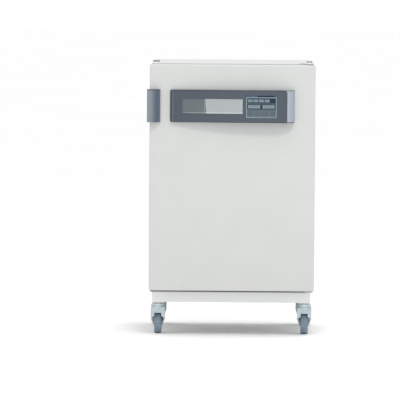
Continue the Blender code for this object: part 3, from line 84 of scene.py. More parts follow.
MIDDLE_X = sum(span("door_skin", "X")) / 2
DOOR_FRONT = span("door_skin", "Y")[0]
KEY_PLACES = [sum(span(key, "X")) / 2 for key in KEYS]
KEY_LEVEL = sum(span("key_1", "Z")) / 2
WINDOW_SPLIT = 0.0955           # the window's dark part, from its left end


class Wire:
    """A node's output. Arithmetic with other outputs or numbers adds Math nodes to the same tree."""

    def __init__(self, tree, socket):
        self.tree = tree
        self.socket = socket

    def math(self, operation, *values, clamp=False):
        """One Math node on these values, numbers or outputs."""
        settings = {"operation": operation, "use_clamp": clamp}
        return grown(self.tree, "ShaderNodeMath", settings, dict(enumerate(values)))

    def __add__(self, other):
        return self.math("ADD", self, other)

    def __sub__(self, other):
        return self.math("SUBTRACT", self, other)

    def __rsub__(self, other):
        return self.math("SUBTRACT", other, self)

    def __mul__(self, other):
        return self.math("MULTIPLY", self, other)

    def __gt__(self, other):
        return self.math("GREATER_THAN", self, other)

    def __lt__(self, other):
        return self.math("LESS_THAN", self, other)

    __radd__ = __add__
    __rmul__ = __mul__

    def part(self):
        """What is left of the value over its whole number."""
        return self.math("FRACT", self)

    def clamped(self):
        """The value kept between 0 and 1."""
        return self.math("ADD", self, 0.0, clamp=True)

    def within(self, low, high):
        """1 where the value lies between two limits, and 0 elsewhere."""
        return (self > low) * (self < high)

    def near(self, place, reach):
        """1 where the value is nearer to a place than this reach, and 0 elsewhere."""
        return self.within(place - reach, place + reach)

    def step(self, low, high):
        """A smooth rise from 0 to 1 between two values."""
        settings = {"interpolation_type": "SMOOTHSTEP"}
        sockets = {"Value": self, "From Min": low, "From Max": high}
        return grown(self.tree, "ShaderNodeMapRange", settings, sockets, "Result")


def connect(tree, value, socket):
    """Put a number or colour on a socket, or link an output to it."""
    if isinstance(value, Wire):
        tree.links.new(value.socket, socket)
    elif socket.type == "RGBA":
        socket.default_value = (*value, 1.0)
    else:
        socket.default_value = value


def grown(tree, kind, settings, sockets, output=0):
    """A new node of this type, its settings first and then its sockets, as the output asked for."""
    node = tree.nodes.new(kind)
    for setting, value in settings.items():
        setattr(node, setting, value)
    for socket, value in sockets.items():
        connect(tree, value, node.inputs[socket])
    return Wire(tree, node.outputs[output])


def toned(colour, factor):
    """A colour made darker or lighter."""
    return tuple(value * factor for value in colour)


class Finish:
    """A material with its Principled shader, and the nodes that feed it."""

    def __init__(self, name, colour, roughness=0.5, metallic=0.0, **constants):
        self.colour = colour
        self.material = bpy.data.materials.new(f"{name}_finish")
        self.material.use_nodes = True
        self.material.diffuse_color = (*colour, 1.0)
        self.tree = self.material.node_tree
        self.shader = self.tree.nodes["Principled BSDF"]
        self.paint(colour).set("Roughness", roughness).set("Metallic", metallic)
        for socket, value in constants.items():
            self.set(socket.replace("_", " "), value)
        FINISHES[name] = self.material

    def set(self, socket, value):
        """Set or link one of the shader's sockets."""
        connect(self.tree, value, self.shader.inputs[socket])
        return self

    def paint(self, colour):
        """Set the base colour, and keep it as the ground of what is laid over it."""
        self.ground = colour
        return self.set("Base Color", colour)

    def over(self, mask, colour):
        """Lay a colour over the ground, as strongly as the mask says."""
        return self.paint(self.blend(mask, self.ground, colour))

    def matt(self, pattern, spread, middle):
        """Let the roughness follow a pattern from 0 to 1, by this spread about its middle."""
        return self.set("Roughness", pattern * spread + (middle - spread / 2))

    def node(self, kind, settings=None, output=0, **sockets):
        """A node of this type with its settings and sockets, as the output asked for."""
        return grown(self.tree, kind, settings or {}, sockets, output)

    def along(self, axis):
        """One object coordinate in metres."""
        found = self.node("ShaderNodeTexCoord", output="Object")
        return self.node("ShaderNodeSeparateXYZ", output=axis, Vector=found)

    def place(self, stretch=(1.0, 1.0, 1.0)):
        """Object coordinates in metres, stretched along each axis."""
        found = self.node("ShaderNodeTexCoord", output="Object")
        return self.node("ShaderNodeMapping", Vector=found, Scale=stretch)

    def noise(self, scale, detail=2.0, stretch=(1.0, 1.0, 1.0)):
        """Fractal noise, with its scale in features a metre."""
        return self.node("ShaderNodeTexNoise", Vector=self.place(stretch), Scale=scale, Detail=detail)

    def blend(self, factor, first, second):
        """Two colours mixed. Sockets 6 and 7 of a Mix node are its colours, and output 2 their mix."""
        return grown(self.tree, "ShaderNodeMix", {"data_type": "RGBA"}, {0: factor, 6: first, 7: second}, 2)

    def bump(self, height, depth, strength=1.0):
        """Raise the surface by a height from 0 to 1 times a depth in metres."""
        raised = self.node("ShaderNodeBump", Height=height, Distance=depth, Strength=strength)
        return self.set("Normal", raised)

    def speckle(self, amount, scale):
        """Make the colour a little darker and lighter from place to place."""
        share = self.noise(scale, 3.0).step(0.3, 0.7)
        darker, lighter = toned(self.colour, 1 - amount), toned(self.colour, 1 + amount)
        return self.paint(self.blend(share, darker, lighter))


class IncubatorSizes(bpy.types.PropertyGroup):
    """Sizes of what the model's solids leave out."""

    edge: bpy.props.FloatProperty(name="Handle edge", description="Rounding of the lever handle's edges",
                                  default=0.0012, min=0.0002, max=0.004, unit="LENGTH")
    screw: bpy.props.FloatProperty(name="Screw head", description="Diameter of the cover and frame screws",
                                   default=0.0075, min=0.003, max=0.012, unit="LENGTH")


class IncubatorColours(bpy.types.PropertyGroup):
    """Colours of the main finishes, as linear values."""

    paint: bpy.props.FloatVectorProperty(name="Paint", description="Powder coat of the cabinet and door",
                                         default=(0.525, 0.535, 0.525), subtype="COLOR", min=0.0, max=1.0)
    slate: bpy.props.FloatVectorProperty(name="Slate", description="Plastic of the console and handle",
                                         default=(0.046, 0.060, 0.080), subtype="COLOR", min=0.0, max=1.0)
    silver: bpy.props.FloatVectorProperty(name="Silver", description="Plastic of the console's end cap",
                                          default=(0.335, 0.380, 0.425), subtype="COLOR", min=0.0, max=1.0)
    frame: bpy.props.FloatVectorProperty(name="Frame", description="Paint of the chamber's front frame",
                                         default=(0.44, 0.50, 0.53), subtype="COLOR", min=0.0, max=1.0)
    tyre: bpy.props.FloatVectorProperty(name="Tyre", description="Grey rubber of the casters",
                                        default=(0.16, 0.21, 0.26), subtype="COLOR", min=0.0, max=1.0)


# Shapes are worked out in the cabinet's own coordinates: X from the middle of the door, Y back from
# the front frame, Z up from the floor. A finished mesh is shifted into the model's frame.
ORIGIN = np.array([MIDDLE_X, span("front_frame", "Y")[0], 0.0])
AXES = {"x": (1, 2, 0), "y": (0, 2, 1), "z": (0, 1, 2)}
SIGNS = np.array([(1.0, 1.0), (-1.0, 1.0), (-1.0, -1.0), (1.0, -1.0)])


def local(node):
    """A node's corners in the cabinet's coordinates."""
    low, high = corners(node)
    return low - ORIGIN, high - ORIGIN


def flat(corner):
    """A corner's X and Z."""
    return corner[[0, 2]]


def quarter(steps):
    """Angles of a quarter turn."""
    return np.linspace(0.0, math.pi / 2, steps + 1)


def turn(steps):
    """Angles of a whole turn, without the repeated last one."""
    return np.linspace(0.0, 2 * math.pi, steps, endpoint=False)


def rounded_loop(width, height, radius, steps):
    """Points of a rounded rectangle: each quarter circle is centred one radius in from its corner."""
    turned = (np.arange(4) * math.pi / 2)[:, None] + quarter(steps)[None, :]
    centres = SIGNS * np.array([width / 2 - radius, height / 2 - radius])
    circle = np.stack([np.cos(turned), np.sin(turned)], axis=-1) * radius
    return (centres[:, None, :] + circle).reshape(-1, 2)


def revolved(profile, centre, axis, steps):
    """A profile of (radius, height) points turned about an axis.

    Point = centre + radius x (cos a, sin a) across the axis + height along it.
    """
    radius, height = np.array(profile, dtype=float).T
    angles = turn(steps)
    first, second, along = AXES[axis]
    points = np.zeros((len(radius), steps, 3))
    points[..., first] = radius[:, None] * np.cos(angles)
    points[..., second] = radius[:, None] * np.sin(angles)
    points[..., along] = height[:, None]
    return points + np.array(centre)


class Form:
    """Vertices and faces gathered from grids of points, to be made into one mesh."""

    def __init__(self):
        self.points = []
        self.faces = []
        self.count = 0

    def grid(self, points, ring=False, tube=True, caps=(True, True)):
        """Add an array of rows by columns by 3 as quads.

        A tube joins each row's ends, a ring joins the last row to the first, and a cap is one face on
        the first or last row.
        """
        rows, columns = points.shape[:2]
        numbers = np.arange(rows * columns).reshape(rows, columns) + self.count
        wide = np.hstack([numbers, numbers[:, :1]]) if tube else numbers
        wide = np.vstack([wide, wide[:1]]) if ring else wide
        quads = np.stack([wide[:-1, :-1], wide[:-1, 1:], wide[1:, 1:], wide[1:, :-1]], axis=-1)
        self.faces += quads.reshape(-1, 4).tolist()
        if tube and not ring:
            self.faces += [numbers[end].tolist() for end, wanted in zip((0, -1), caps) if wanted]
        self.points.append(points.reshape(-1, 3))
        self.count += rows * columns
        return self

    def turned(self, profile, centre, axis, steps, way=1.0, ring=False):
        """A turned solid, whose profile's heights run this way along the axis."""
        rows = [(radius, way * height) for radius, height in profile]
        return self.grid(revolved(rows, centre, axis, steps), ring=ring)

    def plate(self, size, radius, rows, centre, axis="y", steps=12, ring=False):
        """Stack rounded rectangles along an axis.

        Each row (inset, depth) is the loop drawn in by its inset and set at its depth, so that rows on
        a quarter circle round the plate's edge, and a ring of rows makes a frame of that profile.
        """
        first, second, along = AXES[axis]
        layers = []
        for inset, depth in rows:
            loop = rounded_loop(size[0] - 2 * inset, size[1] - 2 * inset, max(radius - inset, 1e-5), steps)
            layer = np.zeros((len(loop), 3))
            layer[:, first], layer[:, second], layer[:, along] = loop[:, 0], loop[:, 1], depth
            layers.append(layer)
        return self.grid(np.array(layers) + np.array(centre), ring=ring)

    def pad(self, low, high, radius, steps=4):
        """A box whose edges are rounded.

        Point = centre + sign x (half size - radius) + radius x direction, for the directions of a unit
        sphere, whose signs change where its flat sides open out.
        """
        low, high = np.array(low, dtype=float), np.array(high, dtype=float)
        reach = (high - low) / 2 - radius
        tilt = np.concatenate([quarter(steps) - math.pi / 2, quarter(steps)])
        rise = np.repeat([-1.0, 1.0], steps + 1)
        spin = (np.arange(4)[:, None] * math.pi / 2 + quarter(steps)[None, :]).ravel()
        signs = np.repeat(SIGNS, steps + 1, axis=0)
        points = np.zeros((len(tilt), len(spin), 3))
        level = np.cos(tilt)[:, None]
        points[..., 0] = signs[:, 0] * reach[0] + radius * level * np.cos(spin)
        points[..., 1] = signs[:, 1] * reach[1] + radius * level * np.sin(spin)
        points[..., 2] = rise[:, None] * reach[2] + radius * np.sin(tilt)[:, None]
        return self.grid(points + (low + high) / 2)

    def panel(self, x, z, y, thickness=None, back=None):
        """A front whose points are (x, y(x, z), z), closed behind.

        Its border goes back by the thickness, or to one plane, and is closed there.
        """
        points = np.stack([x, y, z], axis=-1)
        self.grid(points, tube=False)
        border = np.concatenate([points[0, :-1], points[:-1, -1], points[-1, :0:-1], points[:0:-1, 0]])
        rear = border.copy()
        rear[:, 1] = border[:, 1] + thickness if back is None else back
        return self.grid(np.array([border, rear]), caps=(False, True))

    def rods(self, starts, ends, radius, sides, tip=0.35):
        """Round rods between arrays of points, their ends rounded.

        Point = start + share of the way x length + radius x scale x (cos a, sin a) across the rod.
        """
        starts, ends = np.atleast_2d(starts).astype(float), np.atleast_2d(ends).astype(float)
        length = np.linalg.norm(ends - starts, axis=1)[:, None]
        forward = (ends - starts) / length
        helper = np.where(np.abs(forward[:, 2:3]) > 0.9, [[1.0, 0.0, 0.0]], [[0.0, 0.0, 1.0]])
        across = np.cross(forward, helper)
        across /= np.linalg.norm(across, axis=1)[:, None]
        upward = np.cross(across, forward)
        rise = quarter(3)
        scale = np.concatenate([np.sin(rise), np.cos(rise)])
        place = np.concatenate([tip * radius * (1 - np.sin(rise)), -tip * radius * (1 - np.cos(rise))])
        anchor = np.repeat([0.0, 1.0], len(rise))
        circle = turn(sides)
        spoke = (np.cos(circle)[None, :, None] * across[:, None, :]
                 + np.sin(circle)[None, :, None] * upward[:, None, :])
        for start, along, reach, arms in zip(starts, forward, length[:, 0], spoke):
            centre = start + (anchor * reach + place)[:, None] * along
            self.grid(centre[:, None, :] + radius * scale[:, None, None] * arms[None, :, :])
        return self

    def build(self, name, angle):
        """The object of this name, its doubles merged, its faces outward and its soft edges smooth."""
        mesh = bpy.data.meshes.new(name)
        mesh.from_pydata((np.concatenate(self.points) + ORIGIN).tolist(), [], self.faces)
        tidy(mesh, angle)
        return placed(name, mesh)


def placed(name, data):
    """A new object of this data in the scene."""
    made = bpy.data.objects.new(name, data)
    bpy.context.scene.collection.objects.link(made)
    return made


def tidy(mesh, angle, reach=2e-6):
    """Merge a mesh's doubles, turn its faces outward and smooth its edges under an angle."""
    work = bmesh.new()
    work.from_mesh(mesh)
    bmesh.ops.remove_doubles(work, verts=work.verts, dist=reach)
    bmesh.ops.dissolve_degenerate(work, edges=work.edges, dist=reach / 10)
    bmesh.ops.recalc_face_normals(work, faces=work.faces)
    work.to_mesh(mesh)
    work.free()
    mesh.shade_smooth()
    mesh.set_sharp_from_angle(angle=math.radians(angle))


def piece(name, form, finish, body, angle=35.0):
    """A piece in its finish, riding on a body."""
    made = form.build(name, angle) if isinstance(form, Form) else form
    made.data.materials.clear()
    made.data.materials.append(FINISHES[finish])
    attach(made, body)
    return made


def stand_in(node, form, finish, angle=35.0, name=None):
    """A piece that takes a solid's place on its body."""
    made = piece(name or node.capitalize(), form, finish, BODY_OF[node], angle)
    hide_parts(node)
    return made


def softened(node, width, finish, name=None):
    """A copy of a solid whose loose faces are joined and whose edges are rounded, in its place."""
    source = frame["nodes"][node]
    mesh = source.data.copy()
    mesh.name = name or node.capitalize()
    mesh.transform(source.matrix_world)
    tidy(mesh, 30.0, reach=2e-5)
    made = placed(name or node.capitalize(), mesh)
    rounding = made.modifiers.new("Rounding", "BEVEL")
    rounding.width = width
    rounding.segments = 3
    rounding.limit_method = "ANGLE"
    rounding.angle_limit = math.radians(32.0)
    rounding.harden_normals = True
    return stand_in(node, made, finish, name=name)


def dress(finish, *nodes):
    """Give solids that stay as they are this finish."""
    for node in nodes:
        for place in frame["nodes"][node].material_slots:
            place.material = FINISHES[finish]


def stations(low, high, radius, count, breaks=(), soft=0.0003):
    """Places across a front: dense on its rounded edges and at each break, even between."""
    near = radius * (1 - np.cos(quarter(5)))
    even = np.linspace(low + radius, high - radius, count)
    doubled = (np.array(breaks, dtype=float)[:, None] + np.array([-soft, 0.0, soft])).ravel()
    return np.unique(np.concatenate([low + near, high - near, even, doubled]).round(6))


def fallen(x, z, low, high, radius):
    """How far a front's edge falls back as a quarter circle.

    Radius - square root of radius squared - the squares of how far the point is inside the edge band.
    """
    across = np.clip(radius - np.minimum(x - low[0], high[0] - x), 0.0, radius)
    upward = np.clip(radius - np.minimum(z - low[1], high[1] - z), 0.0, radius)
    return radius - np.sqrt(np.clip(radius ** 2 - across ** 2 - upward ** 2, 0.0, None))


def front_grid(low, high, radius, columns, rows, breaks_x=(), breaks_z=()):
    """Places over a front, as x and z, and how far its rounded edges fall back there."""
    x, z = np.meshgrid(stations(low[0], high[0], radius, columns, breaks_x),
                       stations(low[2], high[2], radius, rows, breaks_z))
    return x, z, fallen(x, z, flat(low), flat(high), radius)


def sunk(x, z, low, high, soft=0.0003):
    """1 inside a rectangle, 0 outside and a steep ramp at its border."""
    across = np.clip(np.minimum(x - low[0], high[0] - x) / soft, 0.0, 1.0)
    upward = np.clip(np.minimum(z - low[1], high[1] - z) / soft, 0.0, 1.0)
    return np.minimum(across, upward)


def bend_rows(inset, depth, radius, steps, way=1.0):
    """Rows round a bend, from a floor to a wall: inset + r (1 - sin a), depth + way x r (1 - cos a)."""
    angles = quarter(steps)
    return np.stack([inset + radius * (1 - np.sin(angles)), depth + way * radius * (1 - np.cos(angles))],
                    axis=1).tolist()


def powder_coat(name, colour, roughness=0.38):
    """Baked paint with its fine orange peel, and the faintest clouding."""
    finish = Finish(name, colour, Specular_IOR_Level=0.45).speckle(0.012, 9.0)
    finish.matt(finish.noise(140.0), 0.08, roughness)
    return finish.bump(finish.noise(620.0) * 0.7 + finish.noise(1500.0, 1.0) * 0.3, 0.00005, 0.55)


def frame_coat(name, colour):
    """The chamber frame's paint, with a dark strip of painted shade along the frame's lowest edge, where the
    gap under the door lies in shade.
    """
    finish = powder_coat(name, colour, 0.36)
    gap_shade = finish.along("Z") < span("front_frame", "Z")[0] + 0.0035
    # Painted shade: the strip stands in for the shade in the gap below the door.
    return finish.over(gap_shade, (0.045, 0.043, 0.042))


def stainless_steel(name, colour, roughness, grain, depth):
    """Steel with its grain drawn out along one axis: the noise is squeezed along it."""
    finish = Finish(name, colour, metallic=1.0).speckle(0.03, 6.0)
    drawn = finish.noise(1.0, 3.0, grain)
    return finish.matt(drawn, 0.10, roughness).bump(drawn, depth, 0.35)


def zinc_plate(name, colour, roughness=0.34, metallic=0.85):
    """Bright zinc on pressed steel, clouded by its passivation."""
    finish = Finish(name, colour, metallic=metallic).speckle(0.07, 55.0)
    finish.matt(finish.noise(70.0, 4.0), 0.16, roughness)
    return finish.bump(finish.noise(900.0), 0.00004, 0.4)


def moulded_plastic(name, colour, roughness, metallic=0.0, clouds=60.0):
    """Moulded plastic with a spark-eroded grain."""
    finish = Finish(name, colour, metallic=metallic).speckle(0.03, clouds)
    pits = finish.noise(1700.0)
    return finish.matt(pits, 0.10, roughness).bump(pits, 0.00005, 0.5)


def console_plastic(name, colour):
    """The console's plastic, with painted shade as a dark band at its left end and dark upper and lower
    edges, and a painted highlight as a pale line beside the left band.
    """
    finish = moulded_plastic(name, colour, 0.42)
    x, z = finish.along("X"), finish.along("Z")
    left, (low, top) = span("console_housing", "X")[0], span("console_housing", "Z")
    # Painted shade: the left end and the rounded upper and lower edges are darkened.
    dark = ((x < left + 0.0072) + (z > top - 0.0042) + (z < low + 0.0034)).clamped()
    # Painted highlight: a pale line where the left edge's rounding would catch the light.
    pale = x.within(left + 0.0094, left + 0.0108)
    return finish.over(dark * 0.6, toned(colour, 0.35)).over(pale * 0.7, (0.24, 0.29, 0.34))


def cap_plastic(name, colour):
    """The end cap's silver plastic, with painted shade as a dark line along its upper and lower edges."""
    finish = moulded_plastic(name, colour, 0.36, 0.25)
    z = finish.along("Z")
    low, high = span("console_end_cap", "Z")
    # Painted shade: the cap's upper and lower edges are darkened.
    shade = z.within(high - 0.0032, high + 0.0010) * 0.6 + z.within(low - 0.0010, low + 0.0038) * 0.8
    return finish.over(shade, toned(colour, 0.15))


def handle_plastic(name, colour):
    """The handle's plastic, paler towards its left side as painted light from the left, with painted shade
    at its upper end.
    """
    finish = moulded_plastic(name, colour, 0.42)
    left, top = span("door_handle", "X")[0], span("door_handle", "Z")[1]
    # Painted light: the left part is paler, as it would be lit from the left.
    painted_light = 1 - finish.along("X").step(left + 0.002, left + 0.042)
    # Painted shade: the upper end is darkened.
    dark = finish.along("Z") > top - 0.0042
    return finish.over(painted_light, (0.205, 0.230, 0.262)).over(dark * 0.6, toned(colour, 0.35))


def rubber(name, colour, roughness=0.62, gloss=0.5):
    """Soft rubber, dusted where it is touched, with the finest grain."""
    finish = Finish(name, colour, Specular_IOR_Level=gloss).speckle(0.05, 90.0)
    dust = finish.noise(45.0, 4.0).step(0.45, 0.75)
    worn = tuple(value * 1.25 + 0.01 for value in colour)
    finish.over(dust * 0.5, worn).matt(finish.noise(300.0), 0.14, roughness)
    return finish.bump(finish.noise(1200.0), 0.00006, 0.5)


def silicone(name, colour):
    """Translucent silicone rubber."""
    finish = Finish(name, colour, Subsurface_Weight=0.15, Subsurface_Scale=0.004).speckle(0.03, 40.0)
    return finish.matt(finish.noise(200.0), 0.10, 0.50).bump(finish.noise(500.0), 0.00003, 0.4)


def clear_glass(name):
    """Toughened glass, clearer face on than at a slant, with the green of its edges."""
    finish = Finish(name, (0.55, 0.66, 0.63), roughness=0.03, Specular_IOR_Level=0.8)
    slant = finish.node("ShaderNodeLayerWeight", output="Facing", Blend=0.35)
    smears = finish.noise(7.0, 5.0).step(0.35, 0.8)
    finish.set("Alpha", slant * 0.55 + smears * 0.02 + 0.10)
    return finish.set("Base Color", finish.blend(slant, (0.70, 0.80, 0.78), (0.25, 0.42, 0.38)))


def display_glass(name):
    """The display: a dark part, a pale part painted as a reflection on the pane, a dark wedge of painted
    shade between them, and painted highlights as pale lines along the edges.
    """
    finish = Finish(name, (0.3, 0.32, 0.33), roughness=0.16, Coat_Weight=0.6, Coat_Roughness=0.08)
    x, z = finish.along("X"), finish.along("Z")
    (left, right), low = span("display_window", "X"), span("display_window", "Z")[0]
    split = left + WINDOW_SPLIT
    slant = x - (z - low) * -0.04
    # Painted reflection: the pale right part of the pane, beyond a slightly slanted edge.
    painted_reflection = slant.step(split - 0.0012, split + 0.0012)
    # Painted shade: a dark wedge just right of the split.
    wedge_shade = (x + (z - low) * 0.22).within(split + 0.0005, split + 0.0060) * (x < split + 0.0030)
    finish.paint(finish.blend(painted_reflection, (0.066, 0.086, 0.100), (0.300, 0.328, 0.333)))
    finish.over(finish.noise(18.0) * 0.08, (0.30, 0.33, 0.35)).over(wedge_shade * 0.6, (0.060, 0.075, 0.090))
    # Painted highlights: pale lines along the lower and right edges and left of the split.
    lower = z.near(low + 0.0035, 0.0012) * (painted_reflection * 0.75 + 0.25)
    pale = lower + x.near(right - 0.0030, 0.0008) + slant.near(split - 0.0040, 0.0012) * 0.5
    return finish.over(pale.clamped() * 0.55, (0.46, 0.50, 0.52)).matt(finish.noise(60.0), 0.06, 0.15)


def boxes(x, z, level, places, width, height):
    """1 inside each of a row of boxes, from their middles."""
    return sum(x.near(place, width / 2) for place in places) * z.near(level, height / 2)


def membrane(name, ground, dark, pale):
    """The keypad's printed film: a pale outline, two dark rows of pale boxes, a title bar, outlined keys."""
    finish = Finish(name, ground, roughness=0.38, Specular_IOR_Level=0.22).speckle(0.03, 80.0)
    x, z = finish.along("X"), finish.along("Z")
    (left, right), (low, high) = span("keypad_panel", "X"), span("keypad_panel", "Z")
    top, rim, margin = high - 0.0085, 0.0014, 0.0045
    inner = x.within(left + 2 * rim, right - 2 * rim) * z.within(low + 0.0030, top - rim)
    outer = x.within(left + rim, right - rim) * z.within(low + 0.0016, top)
    rows = x.within(left + margin, right - margin)
    title = z.within(high - 0.0062, high - 0.0012) * x.within(left + 0.0016, right - 0.0090)
    title_start = z.within(high - 0.0056, high - 0.0018) * x.within(left + 0.0040, left + 0.0460)
    upper, lower = top - 0.0135, top - 0.0371
    uppers = [left + 0.017 + 0.0225 * number for number in range(4)]
    lowers = [left + 0.0325, left + 0.0905]
    pads = boxes(x, z, upper, uppers, 0.0190, 0.0110) + boxes(x, z, lower, lowers, 0.0480, 0.0125)
    slots = boxes(x, z, upper, uppers, 0.0120, 0.0036) + boxes(x, z, lower, lowers, 0.0360, 0.0032)
    wide, tall = (high - low for low, high in (span("key_1", "X"), span("key_1", "Z")))
    frames = boxes(x, z, KEY_LEVEL, KEY_PLACES, wide + 0.0052, tall + 0.0052)
    rooms = boxes(x, z, KEY_LEVEL, KEY_PLACES, wide + 0.0034, tall + 0.0034)
    for share, tint in (((outer - inner).clamped() * 0.75, pale),
                        (z.within(top - 0.0231, top - 0.0038) * rows, dark),
                        (z.within(top - 0.0468, top - 0.0274) * rows, (0.010, 0.032, 0.052)),
                        (title, (0.001, 0.010, 0.030)), (title_start * 0.7, (0.060, 0.160, 0.220)),
                        (pads * 0.42, pale), (slots * 0.55, dark),
                        ((frames - rooms).clamped() * 0.45, pale)):
        finish.over(share, tint)
    grain = finish.noise(1500.0)
    return finish.matt(grain, 0.08, 0.40).bump(grain, 0.00003, 0.4)


def key_cap(name, colour, mark):
    """The keys' caps: a cross on the first and a bar on the others, which name nothing."""
    finish = moulded_plastic(name, colour, 0.40, clouds=80.0)
    x, z = finish.along("X"), finish.along("Z")
    bars = boxes(x, z, KEY_LEVEL, KEY_PLACES, 0.0090, 0.0016)
    upright = boxes(x, z, KEY_LEVEL, KEY_PLACES[:1], 0.0016, 0.0090)
    return finish.over((bars + upright).clamped() * 0.8, mark)


def circuit_board(name):
    """Green solder mask with tinned pads on a regular grid."""
    green, pitch, share = (0.015, 0.10, 0.045), 125.0, 0.22
    finish = Finish(name, green, roughness=0.35)
    pads = ((finish.along("X") * pitch).part() < share) * ((finish.along("Z") * pitch).part() < share)
    return finish.over(pads, (0.55, 0.56, 0.55)).set("Metallic", pads * 0.9).bump(pads, 0.0001, 0.6)


def foam(name, colour):
    """Rigid foam, full of small cells."""
    finish = Finish(name, colour, roughness=0.9)
    cells = finish.node("ShaderNodeTexVoronoi", output="Distance", Vector=finish.place(), Scale=420.0)
    return finish.paint(finish.blend(cells, toned(colour, 0.8), colour)).bump(cells, 0.0004, 0.7)


class INCUBATOR_OT_finishes(bpy.types.Operator):
    """Mix every finish and give it to the solids that stay as they are"""

    bl_idname = "incubator.finishes"
    bl_label = "Finishes"

    def execute(self, context):
        chosen = context.scene.incubator_colours
        paint, slate = tuple(chosen.paint), tuple(chosen.slate)
        powder_coat("door_paint", paint)
        # The base frame's paint is the door's paint made 1.36 times lighter, as painted light against the
        # shade under the door's overhang.
        powder_coat("base_paint", toned(paint, 1.36))
        frame_coat("frame_paint", tuple(chosen.frame))
        stainless_steel("chamber_steel", (0.49, 0.535, 0.565), 0.27, (14.0, 14.0, 900.0), 0.000018)
        stainless_steel("rack_steel", (0.50, 0.54, 0.57), 0.24, (900.0, 900.0, 30.0), 0.00004)
        stainless_steel("tray_steel", (0.52, 0.56, 0.58), 0.22, (500.0, 20.0, 500.0), 0.00003)
        stainless_steel("wire_steel", (0.66, 0.68, 0.70), 0.20, (300.0, 20.0, 300.0), 0.00003)
        zinc_plate("bright_zinc", (0.60, 0.64, 0.68))
        zinc_plate("fork_zinc", (0.450, 0.520, 0.560), 0.50, 0.35)
        console_plastic("slate_console", slate)
        # The handle's slate is the console's same plastic made 1.75 times lighter: painted light.
        handle_plastic("slate_handle", toned(slate, 1.75))
        cap_plastic("silver_plastic", tuple(chosen.silver))
        moulded_plastic("dark_plastic", (0.030, 0.034, 0.040), 0.48)
        moulded_plastic("hub_plastic", (0.40, 0.45, 0.49), 0.46)
        rubber("tyre_rubber", tuple(chosen.tyre))
        rubber("pad_rubber", (0.006, 0.007, 0.008), 0.90, 0.05)
        silicone("seal_silicone", (0.72, 0.75, 0.76))
        silicone("stopper_silicone", (0.20, 0.28, 0.36))
        clear_glass("door_glass")
        display_glass("display_glass")
        membrane("keypad_film", (0.066, 0.096, 0.116), (0.004, 0.024, 0.046), (0.47, 0.56, 0.60))
        key_cap("key_caps", (0.062, 0.090, 0.110), (0.016, 0.028, 0.038))
        circuit_board("board_green")
        foam("foam_core", (0.80, 0.74, 0.52))
        dress("bright_zinc", "fan_motor")
        dress("foam_core", "insulation_jacket", "door_insulation")
        dress("board_green", "control_board")
        return {"FINISHED"}


CREST_X, CREST = 0.142, 0.048               # the console's crest across it, and off the door
LEFT_STAND, SPLIT_STAND, RIGHT_STAND = 0.012, 0.040, 0.010
FACE_CORNER = 0.012                         # the slate face's upper right corner
END_CORNER = 0.006                          # its two left corners
CAP_CORNER = 0.006
CONSOLE_EDGE, PANE_EDGE, KEY_EDGE = 0.003, 0.0008, 0.0010
WINDOW_WELL, GROOVE_DEPTH, KEY_WELL = 0.0050, 0.0008, 0.0030


def console_stand(x):
    """How far the console's front stands off the door: crest - fall x (way from the crest / span)^2."""
    low, high = local("console_housing")
    left_share = (CREST_X - x) / (CREST_X - low[0])
    right_share = (x - CREST_X) / (high[0] - CREST_X)
    return CREST - np.where(x <= CREST_X, (CREST - LEFT_STAND) * left_share ** 2,
                            (CREST - SPLIT_STAND) * right_share ** 2)


def corner_drop(x, right, radius):
    """How far a rounded corner lowers an edge: radius - square root(radius^2 - run^2)."""
    run = np.clip(x - (right - radius), 0.0, radius)
    return radius - np.sqrt(np.clip(radius ** 2 - run ** 2, 0.0, None))


def console_housing():
    """The slate housing: a bowed front with round edges, a trim groove, and wells for what it holds."""
    low, high = local("console_housing")
    window_low, window_high = local("display_window")
    keypad_low, keypad_high = local("keypad_panel")
    groove = low[0] + 0.0085 + np.array([-0.001, 0.001])
    breaks_x = (window_low[0], window_high[0], keypad_low[0], keypad_high[0], *groove,
                *(high[0] - FACE_CORNER * (1 - np.sin(quarter(8)))),
                *(low[0] + END_CORNER * (1 - np.sin(quarter(6)))))
    breaks_z = (window_low[2], window_high[2], keypad_low[2], keypad_high[2])
    x, z, fall = front_grid(low, high, CONSOLE_EDGE, 60, 18, breaks_x, breaks_z)
    y = high[1] - console_stand(x) + fall
    y += WINDOW_WELL * sunk(x, z, flat(window_low), flat(window_high))
    y += GROOVE_DEPTH * sunk(x, z, (groove[0], low[2] - 1), (groove[1], high[2] + 1))
    y += sunk(x, z, flat(keypad_low), flat(keypad_high)) * (keypad_high[1] + 0.0003 - y)
    tall, middle = high[2] - low[2], (low[2] + high[2]) / 2
    scale = 1 - corner_drop(x, high[0], FACE_CORNER) / tall
    ends = 1 - 2 * corner_drop(-x, -low[0], END_CORNER) / tall
    z = middle + (low[2] + (z - low[2]) * scale - middle) * ends
    stand_in("console_housing", Form().panel(x, z, y, back=high[1]), "slate_console", 30)


def console_cap():
    """The silver end cap: it runs on behind the slate face's corner and falls back to the right."""
    low, high = local("console_end_cap")
    split = low[0]
    x, z = np.meshgrid(stations(split - 0.016, high[0], CONSOLE_EDGE, 40, (split,)),
                       stations(low[2], high[2], CONSOLE_EDGE, 16))
    share = np.clip((x - split) / (high[0] - split), 0.0, 1.0)
    fall_off = RIGHT_STAND + (SPLIT_STAND - RIGHT_STAND) * (1 - share ** 2)
    y = high[1] - np.where(x < split, console_stand(x), fall_off) + 0.0018
    y += fallen(x, z, (split - 1, low[2]), flat(high), CONSOLE_EDGE)
    drop = corner_drop(x, high[0], CAP_CORNER) / (high[2] - low[2])
    z = high[2] - (high[2] - z) * (1 - drop)
    form = Form().panel(x, z, np.minimum(y, high[1] - 0.0005), back=high[1])
    stand_in("console_end_cap", form, "silver_plastic", 30)


